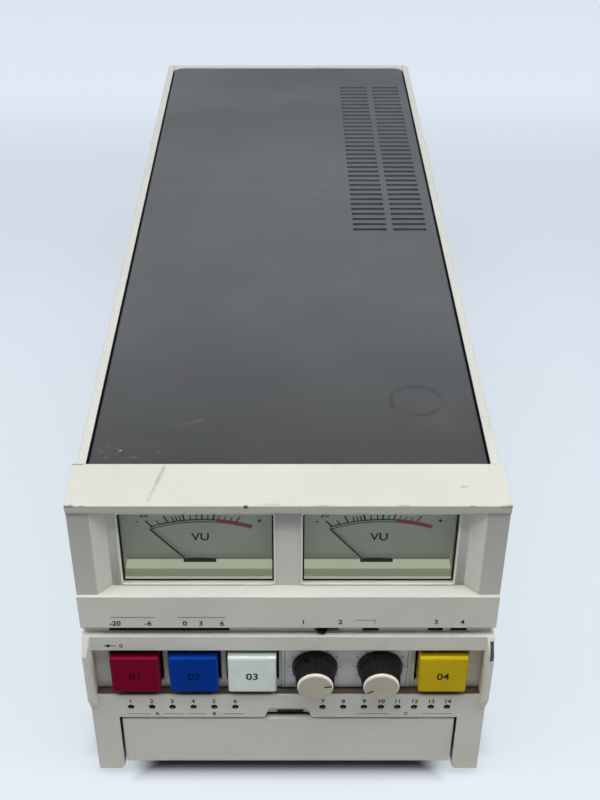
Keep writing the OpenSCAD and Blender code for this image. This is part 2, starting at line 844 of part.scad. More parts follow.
module meter_case(x) {
    w = window_w / 2 - case_gap;
    z1 = window_top - case_gap;
    back = recess_d + recess_t;
    difference() {
        union() {
            front_pad(x, window_z + window_h / 2, 2 * w, window_h - 2 * case_gap, 0.8,
                recess_d + rim_set, back + 2);
            box([x - w - 2, back, pivot_z - 9], [x + w + 2, case_back, z1 + 1.2]);
        }
        box([x - w + rim_w, 0, window_z + glass_edge], [x + w - rim_w, dial_y + dial_t, z1 - rim_w]);
        box([x - 12, needle_y - 1.4, pivot_z - 7], [x + 12, case_back - 1.2, dial_floor - 1.5]);
        box([x - 5.8, needle_y - 0.7, pivot_z], [x + 5.8, dial_y, dial_floor + 0.5]);
    }
}

module meter_cases() {
    color(black) for (s = [-1, 1])
        meter_case(s * meter_x);
}

module meter_windows() {
    color([0.80, 0.85, 0.82, 0.35]) for (s = [-1, 1])
        box([s * meter_x - window_w / 2 + glass_edge, glass_y, window_z + glass_edge],
            [s * meter_x + window_w / 2 - glass_edge, glass_y + glass_t, window_top - glass_edge]);
}

module meter_dials() {
    w = window_w / 2 - glass_edge;
    z0 = window_z + glass_edge;
    color([0.78, 0.79, 0.70]) for (s = [-1, 1])
        translate([s * meter_x, 0, 0]) difference() {
            union() {
                box([-w, dial_y, z0], [w, dial_y + dial_t, window_top - glass_edge]);
                profile(-w, w, [[glass_y + glass_t, z0], [dial_step, dial_floor],
                    [dial_y + dial_t, dial_floor], [dial_y + dial_t, z0]]);
            }
            box([-5.8, needle_y - 0.7, window_z], [5.8, dial_y, dial_floor + 0.5]);
        }
}

module meter_movements() {
    color(steel) for (s = [-1, 1])
        difference() {
            box([s * meter_x - 9, dial_y + 1.5, pivot_z - 7],
                [s * meter_x + 9, case_back - 3, pivot_z + 3.4]);
            bar_y(s * meter_x, pivot_z, 2 + 2 * run_gap, 0, case_back - 4);
        }
}

module needle(x) {
    color(black) translate([x, 0, pivot_z]) rotate([0, -needle_rest, 0]) {
        box([-0.2, needle_y - 0.2, 0], [0.2, needle_y + 0.2, needle_l]);
        bar_y(0, 0, 5, needle_y - 0.4, needle_y + 0.5);
        bar_y(0, 0, 2, needle_y, case_back - 5);
    }
}

module left_needle() {
    needle(-meter_x);
}

module right_needle() {
    needle(meter_x);
}

module deck_plate() {
    x = capstan_x;
    color(alloy) difference() {
        box([-inner_x, deck_front, deck_z], [inner_x, deck_back, deck_top]);
        box([x - roller_d / 2 - 3, arm_y - arm_l - roller_l / 2 - 4, deck_z - 1],
            [x + roller_d / 2 + 3, capstan_y + capstan_d / 2 + 4, deck_top + 1]);
    }
}

module cartridge_rails() {
    color(alloy) for (s = [0, 1])
        mirror([s, 0, 0]) difference() {
            box([bay_w / 2, rail_front, floor_z], [bay_w / 2 + 4, rail_back, deck_z]);
            translate([bay_w / 2, rail_front, deck_z / 2]) rotate([0, 0, 45])
                cube([3, 3, 2 * deck_z], center = true);
            bar_z(foot_x, foot_y[0], 8, floor_z - 1, floor_z + 3);
        }
}

module motor_bridge() {
    color(steel) difference() {
        box([-inner_x, capstan_y - bridge_half, bridge_z],
            [inner_x, capstan_y + bridge_half, bridge_z + bridge_t]);
        bar_z(capstan_x, capstan_y, bridge_bore, bridge_z - 1, bridge_z + bridge_t + 1);
    }
}

module capstan_motor() {
    z = bridge_z + bridge_t;
    color([0.35, 0.36, 0.38]) difference() {
        union() {
            bar_z(capstan_x, capstan_y, motor_d, z, z + motor_h);
            box([capstan_x - 30, capstan_y - 10, z], [capstan_x + 30, capstan_y + 10, z + 3]);
        }
        bar_z(capstan_x, capstan_y, capstan_d + 2 * run_gap, z - 1, z + motor_h - 4);
    }
}

module capstan() {
    color(steel) {
        bar_z(capstan_x, capstan_y, capstan_d, floor_z + 1, bridge_z + bridge_t + motor_h - 6);
        bar_z(capstan_x, capstan_y, 30, bridge_z - 7, bridge_z - 1);
    }
}

module head_base() {
    color(alloy) difference() {
        box([-46, capstan_y - 4, floor_z], [capstan_x + 10, capstan_y + 16, floor_z + 4]);
        box([-42, capstan_y + 6, floor_z + 2], [2, capstan_y + 12, floor_z + 5]);
        bar_z(capstan_x, capstan_y, capstan_d + 2 * run_gap, floor_z - 1, floor_z + 5);
    }
}

module tape_heads() {
    color(steel) for (x = [-37, -20, -3])
        difference() {
            union() {
                box([x - 5.5, capstan_y - 2, floor_z + 4], [x + 5.5, capstan_y + 5, floor_z + 20]);
                bar_z(x, capstan_y - 1, 9, floor_z + 4, floor_z + 20);
            }
            box([x - 8, capstan_y - 10, floor_z], [x + 8, capstan_y - 4.5, floor_z + 30]);
        }
}

module arm_bearing() {
    x = capstan_x + 13.5;
    color(alloy) difference() {
        box([x, arm_y - 6, deck_top], [x + 6, arm_y + 6, arm_z + 6]);
        bar_x(arm_y, arm_z, arm_shaft_d + 2 * run_gap, x - 1, x + 7);
    }
}

module pinch_arm() {
    x = capstan_x;
    crank = [0, crank_l * sin(45), crank_l * cos(45)];
    color(steel) translate([0, arm_y, arm_z]) {
        bar_x(0, 0, 11, x - 6, x + 6);
        bar_x(0, 0, arm_shaft_d, x - 6, crank_x - crank_t / 2 + 2);
        box([x - 4, -arm_l + roller_l / 2 + 1.2, -3.5], [x + 4, -3, 3.5]);
        bar_y(x, 0, 2 * pin_r, -arm_l - roller_l / 2 - 0.8, -arm_l + roller_l / 2 + 2);
        translate([crank_x, 0, 0]) rotate([-45, 0, 0])
            box([-crank_t / 2, -2.5, 0], [-crank_t / 2 + 2, 2.5, crank_l + 2.5]);
        bar_x(0, 0, 9, crank_x - crank_t / 2, crank_x - crank_t / 2 + 2);
        translate(crank) bar_x(0, 0, crank_pin_d, crank_x - crank_t / 2 + 1, crank_x + 4.5);
    }
}

module pinch_roller() {
    color([0.12, 0.12, 0.13]) translate([capstan_x, arm_y - arm_l, arm_z]) difference() {
        bar_y(0, 0, roller_d, -roller_l / 2, roller_l / 2);
        bar_y(0, 0, 2 * pin_r + 2 * run_gap, -roller_l, roller_l);
    }
}

module pinch_solenoid() {
    y1 = arm_y - solenoid_gap;
    y0 = y1 - solenoid_l;
    x = crank_x + 4;
    color([0.30, 0.22, 0.16]) difference() {
        union() {
            box([x - 10, y0, plunger_z - 9], [x + 10, y1, plunger_z + 9]);
            box([x - 10, y0 + 4, deck_top], [x + 10, y1 - 4, plunger_z - 8]);
        }
        bar_y(x, plunger_z, plunger_d + 2 * run_gap, y0 + 4, y1 + 1);
    }
}

module solenoid_plunger() {
    x = crank_x + 4;
    y = arm_y + crank_l * sin(45);
    slot = crank_pin_d + 1.4;
    color(steel) difference() {
        union() {
            bar_y(x, plunger_z, plunger_d, arm_y - solenoid_gap - solenoid_l / 2 + 1, arm_y - 2);
            box([x - 2, arm_y - 3, plunger_z - 5], [x + 2, y + 4.5, plunger_z + 5]);
        }
        box([x - 3, y - slot / 2, plunger_z - 3.6], [x + 3, y + slot / 2, plunger_z + 3.2]);
        box([x - 8, arm_y - 11, plunger_z - 8], [x - 2, y + 10, plunger_z + 8]);
    }
}

// Upright block of a given size, standing on z about a point
module block(x, y, z, size) {
    box([x - size[0] / 2, y - size[1] / 2, z], [x + size[0] / 2, y + size[1] / 2, z + size[2]]);
}

module transformer() {
    color([0.32, 0.30, 0.28]) block(transformer_x, transformer_y, floor_z, core);
    color([0.55, 0.35, 0.16]) block(transformer_x, transformer_y, floor_z + coil_rise, coil);
    color([0.32, 0.30, 0.28]) block(transformer_x, transformer_y, floor_z, tray);
}

module power_board() {
    z = floor_z + power_rise;
    color(board_green) box([power_x, power_y, z], [power_x + power_w, power_y + power_l, z + board_t]);
    color(steel) for (x = [4, power_w - 4], y = [4, power_l - 4])
        bar_z(power_x + x, power_y + y, 6, floor_z, z + 0.5);
    color([0.10, 0.14, 0.30]) for (y = [20, 50])
        bar_z(power_x + 16, power_y + y, 22, z + 1, z + 1 + part_h);
    translate([power_x + 36, power_y + 15, z + 1]) {
        color(alloy) for (k = [0 : 4])
            translate([4 * k, 0, 0]) cube([2, power_l - 25, part_h]);
        color(alloy) cube([18, power_l - 25, 4]);
    }
}

module audio_board() {
    color(board_green) box([audio_x, audio_y, floor_z], [audio_x + board_t, audio_y + audio_l, top_z - 22]);
    color(steel) for (y = [10, audio_l - 10], z = [floor_z + 30, floor_z + 90])
        bar_x(audio_y + y, z, 6, -inner_x, audio_x + 1);
    color(black) for (y = [18, 40, 62], z = [floor_z + 20, floor_z + 50, floor_z + 80])
        box([audio_x + 1, audio_y + y - 8, z - 3], [audio_x + 6, audio_y + y + 8, z + 3]);
}

module line_socket(x) {
    difference() {
        union() {
            front_pad(x, socket_z, socket_flange, 30, 3, body_d, body_d + 1.8);
            bar_y(x, socket_z, 23.4, rear_y - 16, body_d + 1);
            bar_y(x, socket_z, 19, body_d, body_d + 3);
        }
        for (a = [90, 210, 330])
            bar_y(x + 5 * cos(a), socket_z + 5 * sin(a), 2.8, body_d - 8, body_d + 4);
    }
}

module rear_sockets() {
    color([0.20, 0.20, 0.22]) {
        for (x = socket_x)
            line_socket(x);
        front_pad(remote_x, remote_z, 53, 12.5, 1, body_d, body_d + 1);
        box([remote_x - 19.6, rear_y - 8, remote_z - 5.6], [remote_x + 19.6, body_d + 0.5, remote_z + 5.6]);
        front_pad(remote_x, remote_z, 38, 9, 2, body_d, body_d + 5.5);
    }
}

module mains_inlet() {
    color(black) {
        difference() {
            union() {
                front_pad(inlet_x, inlet_z, 48, 24, 4, body_d, body_d + 2);
                box([inlet_x - 13.6, rear_y - 14, inlet_z - 10.1],
                    [inlet_x + 13.6, body_d + 1, inlet_z + 10.1]);
            }
            box([inlet_x - 12, body_d - 15, inlet_z - 8], [inlet_x + 12, body_d + 3, inlet_z + 8]);
        }
        for (p = [[-7, -2], [0, 2], [7, -2]])
            box([inlet_x + p[0] - 1, body_d - 16, inlet_z + p[1] - 2],
                [inlet_x + p[0] + 1, body_d - 6, inlet_z + p[1] + 2]);
    }
}

module fuse_holder() {
    color(black) {
        bar_y(fuse_x, inlet_z, 12, rear_y - 24, body_d + 1);
        bar_y(fuse_x, inlet_z, 16, body_d, body_d + 2.5);
        difference() {
            bar_y(fuse_x, inlet_z, 13, body_d + 2, body_d + fuse_reach);
            translate([fuse_x, body_d + fuse_reach, inlet_z]) cube([9, 2, 1.4], center = true);
        }
    }
}

// Brings the front-plane frame to the middle of the footprint
module placed() {
    translate([0, y_shift, 0]) children();
}

placed() base_plate();
placed() side_wall_left();
placed() side_wall_right();
placed() rear_panel();
placed() top_cover();
placed() corner_blocks();
placed() case_screws();
placed() feet();
placed() meter_bezel();
placed() control_bezel();
placed() indicator_strip();
placed() button_panel();
placed() knob_panel();
placed() band_lamps();
placed() green_lamps();
placed() dark_lamps();
placed() notch_sensor();
placed() red_button();
placed() blue_button();
placed() white_button();
placed() yellow_button();
placed() button_housings();
placed() slide_lever();
placed() small_key();
placed() strip_switches();
placed() cartridge_door();
placed() door_pins();
placed() left_knob();
placed() left_knob_cap();
placed() left_pot_shaft();
placed() right_knob();
placed() right_knob_cap();
placed() right_pot_shaft();
placed() pot_bodies();
placed() pot_nuts();
placed() front_board();
placed() meter_cases();
placed() meter_windows();
placed() meter_dials();
placed() meter_movements();
placed() left_needle();
placed() right_needle();
placed() deck_plate();
placed() cartridge_rails();
placed() motor_bridge();
placed() capstan_motor();
placed() capstan();
placed() head_base();
placed() tape_heads();
placed() arm_bearing();
placed() pinch_arm();
placed() pinch_roller();
placed() pinch_solenoid();
placed() solenoid_plunger();
placed() transformer();
placed() power_board();
placed() audio_board();
placed() rear_sockets();
placed() mains_inlet();
placed() fuse_holder();
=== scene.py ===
"""Looks of the broadcast cartridge player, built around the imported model.

Places are in millimetres from the middle of the front plane at floor level, as in the part's source.
"""

import math

import bpy
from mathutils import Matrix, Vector


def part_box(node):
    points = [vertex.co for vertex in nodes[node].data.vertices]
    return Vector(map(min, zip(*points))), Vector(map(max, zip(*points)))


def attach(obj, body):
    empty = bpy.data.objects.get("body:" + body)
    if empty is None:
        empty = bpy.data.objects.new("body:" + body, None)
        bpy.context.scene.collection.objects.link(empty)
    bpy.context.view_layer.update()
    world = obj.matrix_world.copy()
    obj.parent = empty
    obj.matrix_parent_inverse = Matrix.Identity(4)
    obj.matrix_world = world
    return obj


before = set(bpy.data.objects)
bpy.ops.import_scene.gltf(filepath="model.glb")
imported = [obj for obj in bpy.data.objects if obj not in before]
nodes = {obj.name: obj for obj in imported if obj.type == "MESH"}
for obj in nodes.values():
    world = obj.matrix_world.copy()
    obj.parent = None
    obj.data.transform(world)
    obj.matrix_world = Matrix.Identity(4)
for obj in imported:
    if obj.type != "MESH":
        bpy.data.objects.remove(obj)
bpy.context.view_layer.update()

# Row-frame Y of the front plane, from the strip's own box: its front face stands 2.4 mm behind the plane
GROOVE_SET = 2.4
FRONT_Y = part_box("indicator_strip")[0].y * 1000 - GROOVE_SET


def mm(x, y, z):
    """A point of the source's frame as a row-frame vector in metres."""
    return Vector((x, y + FRONT_Y, z)) / 1000


def span(node):
    """(lowest, highest) corner of a CAD node in the source's millimetres."""
    low, high = (corner * 1000 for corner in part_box(node))
    shift = Vector((0, FRONT_Y, 0))
    return low - shift, high - shift


class Surface:
    """A Principled material with short helpers for its procedural detail."""

    def __init__(self, name, rough=0.5, metal=0.0, specular=0.5, coat=0.0):
        self.material = bpy.data.materials.new(name)
        self.material.use_nodes = True
        self.tree = self.material.node_tree
        self.tree.nodes.clear()
        self.shader = self.node("ShaderNodeBsdfPrincipled")
        self.output = self.node("ShaderNodeOutputMaterial")
        self.link(self.shader.outputs[0], self.output.inputs["Surface"])
        self.set("Roughness", rough)
        self.set("Metallic", metal)
        self.set("Specular IOR Level", specular)
        if coat:
            self.set("Coat Weight", coat)
            self.set("Coat Roughness", 0.12)
        self.place = self.node("ShaderNodeTexCoord").outputs["Object"]

    def node(self, kind, **settings):
        made = self.tree.nodes.new(kind)
        for key, value in settings.items():
            setattr(made, key, value)
        return made

    def link(self, source, target):
        self.tree.links.new(source, target)

    def set(self, socket, value):
        """Set a socket of the shader to a value or link it to another socket."""
        target = self.shader.inputs[socket]
        if isinstance(value, bpy.types.NodeSocket):
            self.link(value, target)
        else:
            target.default_value = value

    def base(self):
        """The socket that feeds the base colour so far."""
        return self.shader.inputs["Base Color"].links[0].from_socket

    def feed(self, target, value):
        """Set any socket to a value or link it; a colour may have three numbers."""
        if isinstance(value, bpy.types.NodeSocket):
            self.link(value, target)
        elif hasattr(target.default_value, "__len__") and len(value) == 3 and len(target.default_value) == 4:
            target.default_value = (*value, 1)
        else:
            target.default_value = value

    def math(self, operation, a, b=0.0):
        made = self.node("ShaderNodeMath", operation=operation)
        self.feed(made.inputs[0], a)
        self.feed(made.inputs[1], b)
        return made.outputs[0]

    def mix(self, share, a, b):
        """Colour a, and b by the share; the node's colour sockets are inputs 6 and 7 and output 2."""
        made = self.node("ShaderNodeMix", data_type="RGBA")
        self.feed(made.inputs[0], share)
        self.feed(made.inputs[6], a)
        self.feed(made.inputs[7], b)
        return made.outputs[2]

    def ramp(self, value, low, high, to_low=0.0, to_high=1.0):
        """Smooth step of a value from one level to another."""
        made = self.node("ShaderNodeMapRange", interpolation_type="SMOOTHSTEP", clamp=True)
        self.feed(made.inputs[0], value)
        for index, number in zip((1, 2, 3, 4), (low, high, to_low, to_high)):
            made.inputs[index].default_value = number
        return made.outputs[0]

    def noise(self, scale, detail=3.0, stretch=(1, 1, 1)):
        """Noise from 0 to 1, in cells of about 1/scale metres."""
        mapping = self.node("ShaderNodeMapping")
        mapping.inputs["Scale"].default_value = stretch
        self.link(self.place, mapping.inputs["Vector"])
        made = self.node("ShaderNodeTexNoise")
        made.inputs["Scale"].default_value = scale
        made.inputs["Detail"].default_value = detail
        self.link(mapping.outputs[0], made.inputs["Vector"])
        return made.outputs["Fac"]

    def axis(self, index):
        """Place along an axis of the row frame, in metres."""
        made = self.node("ShaderNodeSeparateXYZ")
        self.link(self.place, made.inputs[0])
        return made.outputs[index]

    def facing(self, index):
        """How far the surface faces along an axis, from -1 to 1."""
        normal = self.node("ShaderNodeNewGeometry").outputs["Normal"]
        made = self.node("ShaderNodeSeparateXYZ")
        self.link(normal, made.inputs[0])
        return made.outputs[index]

    def distance(self, point):
        """Distance from a point in metres."""
        made = self.node("ShaderNodeVectorMath", operation="DISTANCE")
        self.link(self.place, made.inputs[0])
        made.inputs[1].default_value = point
        return made.outputs["Value"]

    def streak(self, start, end, width):
        """1 on a straight mark between two points, fading to 0 over its width."""
        along = end - start
        rel = self.node("ShaderNodeVectorMath", operation="SUBTRACT")
        self.link(self.place, rel.inputs[0])
        rel.inputs[1].default_value = start
        dot = self.node("ShaderNodeVectorMath", operation="DOT_PRODUCT")
        self.link(rel.outputs[0], dot.inputs[0])
        dot.inputs[1].default_value = along / along.length_squared
        share = self.math("MAXIMUM", self.math("MINIMUM", dot.outputs["Value"], 1.0), 0.0)
        foot = self.node("ShaderNodeVectorMath", operation="SCALE")
        foot.inputs[0].default_value = along
        self.link(share, foot.inputs["Scale"])
        gap = self.node("ShaderNodeVectorMath", operation="DISTANCE")
        self.link(rel.outputs[0], gap.inputs[0])
        self.link(foot.outputs[0], gap.inputs[1])
        return self.ramp(gap.outputs["Value"], width * 0.3, width, 1.0, 0.0)

    def soft_normal(self, radius):
        """Normal with edges rounded over a radius in metres."""
        bevel = self.node("ShaderNodeBevel", samples=6)
        bevel.inputs["Radius"].default_value = radius
        return bevel.outputs[0]

    def edges(self, radius):
        """1 near sharp edges, 0 on flat faces."""
        bevel = self.soft_normal(radius)
        true = self.node("ShaderNodeNewGeometry").outputs["Normal"]
        dot = self.node("ShaderNodeVectorMath", operation="DOT_PRODUCT")
        self.link(bevel, dot.inputs[0])
        self.link(true, dot.inputs[1])
        return self.ramp(dot.outputs["Value"], 0.72, 0.985, 1.0, 0.0)

    def crevices(self, reach):
        """1 in corners and under overhangs, 0 on open faces."""
        made = self.node("ShaderNodeAmbientOcclusion", samples=6)
        made.inputs["Distance"].default_value = reach
        return self.ramp(made.outputs["AO"], 0.25, 0.9, 1.0, 0.0)

    def relief(self, height, depth, rounding):
        """Fine bumps of a depth in metres over edges rounded by a radius."""
        bump = self.node("ShaderNodeBump")
        bump.inputs["Strength"].default_value = 1.0
        bump.inputs["Distance"].default_value = depth
        self.link(height, bump.inputs["Height"])
        self.link(self.soft_normal(rounding), bump.inputs["Normal"])
        self.set("Normal", bump.outputs[0])

    def mottled(self, colour, amount, scale, detail=4.0):
        """The colour a little lighter and darker in patches."""
        patches = self.ramp(self.noise(scale, detail), 0.3, 0.7)
        dark = tuple(c * (1 - amount) for c in colour)
        light = tuple(min(1.0, c * (1 + amount)) for c in colour)
        return self.mix(patches, dark, light)


# Grain of drawn metal: stretch of the noise along each axis
DRAWN = (1, 30, 1)
# Colours of worn spots and of dark marks on paint
CHIP_TONE = (0.10, 0.095, 0.085)
MARK_TONE = (0.05, 0.048, 0.042)


def paint(name, colour, rough=0.46, chips=True, marks=()):
    """Sprayed paint: fine grain, faint patches, dirt and painted shade in corners and a little wear on
    edges.
    """
    s = Surface(name, rough)
    tone = s.mottled(colour, 0.025, 35)
    tone = s.mix(s.ramp(s.noise(700, 2), 0.35, 0.75, 0.0, 0.06), tone, tuple(c * 0.6 for c in colour))
    # Painted shade with some dirt: darker in corners and crevices, from occlusion.
    grime_and_shade = s.math("MULTIPLY", s.crevices(0.006), s.ramp(s.noise(120), 0.2, 0.8, 0.15, 0.4))
    tone = s.mix(grime_and_shade, tone, (colour[0] * 0.42, colour[1] * 0.40, colour[2] * 0.34))
    for start, end, width, strength in marks:
        broken = s.ramp(s.noise(260, 2), 0.3, 0.6, strength * 0.45, strength)
        mark = s.math("MULTIPLY", s.streak(start, end, width), broken)
        tone = s.mix(mark, tone, MARK_TONE)
    if chips:
        worn = s.math("MULTIPLY", s.edges(0.0006), s.ramp(s.noise(170, 4), 0.64, 0.7))
        tone = s.mix(s.math("MULTIPLY", worn, 0.75), tone, CHIP_TONE)
    s.set("Base Color", tone)
    s.set("Roughness", s.ramp(s.noise(60), 0.3, 0.7, rough - 0.05, rough + 0.06))
    s.relief(s.noise(2600, 2), 0.000012, 0.0005)
    return s


def plastic(name, colour, rough=0.35, specular=0.5, rounding=0.0004, edge=None):
    """Moulded plastic, faintly cloudy, with handling marks, painted shade in crevices and soft edges; edge
    is a paler colour painted on them as a highlight.
    """
    s = Surface(name, rough, specular=specular)
    tone = s.mottled(colour, 0.05, 90)
    # Painted shade: darker in crevices and grooves.
    tone = s.mix(s.math("MULTIPLY", s.crevices(0.003), 0.35), tone, tuple(c * 0.45 for c in colour))
    # Painted highlight: the edge colour laid along the edges.
    if edge:
        tone = s.mix(s.math("MULTIPLY", s.edges(max(rounding, 0.0008)), 0.6), tone, edge)
    s.set("Base Color", tone)
    s.set("Roughness", s.ramp(s.noise(140, 5), 0.3, 0.75, rough - 0.05, rough + 0.1))
    s.relief(s.noise(1500, 2), 0.000006, rounding)
    return s


def metal(name, colour, rough):
    """Bare metal with a drawn grain and patches of dulling."""
    s = Surface(name, rough, metal=1.0)
    grain = s.noise(420, 3, DRAWN)
    tone = s.mix(s.ramp(grain, 0.3, 0.7), tuple(c * 0.86 for c in colour), colour)
    tone = s.mix(s.ramp(s.noise(40, 5), 0.55, 0.8, 0.0, 0.35), tone, tuple(c * 0.6 for c in colour))
    s.set("Base Color", tone)
    s.set("Roughness", s.ramp(s.noise(60, 4), 0.3, 0.7, rough - 0.08, rough + 0.12))
    s.relief(grain, 0.000008, 0.0002)
    return s


def ink(name, colour, thin=(0.13, 0.13, 0.12), gloss=0.4):
    """Screen-printed ink, thin in places, where the colour under it shows."""
    s = Surface(name, 0.55, specular=gloss)
    s.set("Base Color", s.mix(s.ramp(s.noise(900, 2), 0.45, 0.8, 0.0, 0.45), colour, thin))
    return s.material


CREAM = (0.655, 0.65, 0.585)
# Scuffs on the hood: start, end, width in metres and strength
HOOD_MARKS = [
    (mm(-41.8, 18.8, 139.1), mm(-45.8, 3.0, 137.6), 0.0008, 0.25),
    (mm(-42.0, 17.5, 139.0), mm(-43.8, 9.0, 138.2), 0.0013, 0.13),
    (mm(-13.95, 0.1, 136.9), mm(-13.7, 0.1, 136.9), 0.0010, 2.2),
    (mm(-8.0, 0.9, 137.5), mm(-3.0, 0.9, 137.5), 0.0004, 0.35),
    (mm(36.0, 0.4, 137.4), mm(39.5, 0.4, 137.4), 0.0005, 0.3),
    (mm(57.4, 9.0, 138.2), mm(59.2, 9.2, 138.2), 0.0006, 0.4),
    (mm(-72.8, 0.1, 137.2), mm(-70.5, 0.1, 137.3), 0.0008, 0.7),
    (mm(-67.6, 0.1, 137.3), mm(-66.8, 0.1, 137.3), 0.0006, 0.6),
    (mm(59.3, 0.1, 137.3), mm(60.6, 0.1, 137.3), 0.0006, 0.6),
    (mm(69.5, 0.1, 137.0), mm(73.0, 0.1, 137.2), 0.0009, 0.7),
    (mm(8.0, 0.4, 137.4), mm(13.0, 0.4, 137.4), 0.0004, 0.3),
    (mm(-73.0, 19.9, 139.0), mm(-69.5, 19.9, 139.2), 0.0007, 0.6),
]


def front_finish():
    """Front paint with painted shade round the meters, in the trough and on the slot's walls, and painted
    highlights on the window frames.
    """
    s = paint("cream_paint", CREAM, marks=HOOD_MARKS)
    across = s.math("ABSOLUTE", s.axis(0))
    depth, height = s.axis(1), s.axis(2)
    tone = s.base()
    grey = tuple(c * 0.2 for c in CREAM)

    def within(value, low, high, soft=0.00005):
        """1 between two levels in metres, with a soft border."""
        above = s.ramp(value, low - soft, low + soft)
        return s.math("MULTIPLY", above, s.ramp(value, high - soft, high + soft, 1.0, 0.0))

    def region(x, y, z):
        """1 inside a box given as ranges of millimetres: distance from the middle, depth and height."""
        ranges = ((across, x, 0), (depth, y, FRONT_Y), (height, z, 0))
        masks = []
        for value, limits, shift in ranges:
            low, high = ((limit + shift) / 1000 for limit in limits)
            masks.append(within(value, low, high))
        return s.math("MULTIPLY", s.math("MULTIPLY", masks[0], masks[1]), masks[2])

    def painted_shade(mask, low, high, z):
        """The tone so far, greyer where the mask is, as painted shade, by a share that changes between two
        heights.
        """
        share = s.ramp(height, z[0] / 1000, z[1] / 1000, low, high)
        return s.mix(s.math("MULTIPLY", mask, share), tone, grey)

    surround_z = (96.7, 134)
    lip = region((0, 80), (-0.1, 0.9), (133.9, 137.3))
    pillars = region((60, 80), (1.1, 1.3), surround_z)
    recess_sides = region((57.9, 60.9), (4.9, 5.1), surround_z)
    divider = region((-1, 4.6), (4.9, 5.1), surround_z)
    trough = region((-1, 70.4), (0.65, 5.8), (45.5, 46.98))
    slot_side_shade = region((62.9, 63.3), (0.5, 20), (0, 34.8))
    window_frame_highlight = region((-1, 58.4), (4.5, 4.97), (97.78, 131))
    # Painted shade on the lip, pillars, recess sides, divider, trough and slot sides; painted highlight on
    # the window frames.
    tone = painted_shade(lip, 0.14, 0.14, (134, 137))
    tone = painted_shade(pillars, 0.24, 0.38, (97, 134))
    tone = painted_shade(recess_sides, 0.50, 0.06, (98, 124))
    tone = painted_shade(divider, 0.0, 0.5, (122.5, 129))
    tone = s.mix(trough, tone, (0.15, 0.112, 0.082))
    tone = s.mix(slot_side_shade, tone, (0.012, 0.012, 0.011))
    s.set("Base Color", s.mix(window_frame_highlight, tone, (0.97, 0.97, 0.94)))
    return s.material


CASE_CREAM = (0.64, 0.645, 0.595)
GAP_SHADE_Z = (0.1330, 0.1340)


def case_finish():
    """Case paint, painted black along the ledges under the edges of the cover as shade in the gap there."""
    s = paint("cream_case_paint", CASE_CREAM)
    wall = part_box("base_plate")[1].x
    # Painted shade: black in the gap between the cover and the walls.
    gap_shade = s.ramp(s.math("ABSOLUTE", s.axis(0)), wall + 0.0001, wall + 0.0003, 1.0, 0.0)
    gap_shade = s.math("MULTIPLY", gap_shade, s.ramp(s.axis(2), *GAP_SHADE_Z))
    s.set("Base Color", s.mix(gap_shade, s.base(), (0.003, 0.003, 0.003)))
    return s.material


TOP = span("top_cover")[1].z
# Pale scratches on the cover: start, end, width in metres and strength
COVER_MARKS = [
    (mm(-57.7, 27.7, TOP), mm(-57.4, 27.8, TOP), 0.0005, 0.55),
    (mm(-62.3, 23.6, TOP), mm(-61.8, 23.7, TOP), 0.0006, 0.10),
    (mm(-53.0, 24.2, TOP), mm(-52.0, 24.4, TOP), 0.0006, 0.10),
    (mm(-41.0, 42.0, TOP), mm(-31.0, 45.0, TOP), 0.0010, 0.030),
    (mm(-34.5, 44.0, TOP), mm(-30.0, 46.4, TOP), 0.0008, 0.035),
]
# Brownish smudges: x, y, reach in metres and strength
SMUDGES = ((14, 236, 0.014, 0.5), (3, 222, 0.011, 0.35), (24, 262, 0.012, 0.4), (-20, 190, 0.02, 0.2))
# Ring left by a cup: middle and radius in metres
CUP_MIDDLE = mm(46.5, 57.5, TOP)
CUP_R = 0.0092
SCRATCH_TONE = (0.55, 0.55, 0.54)


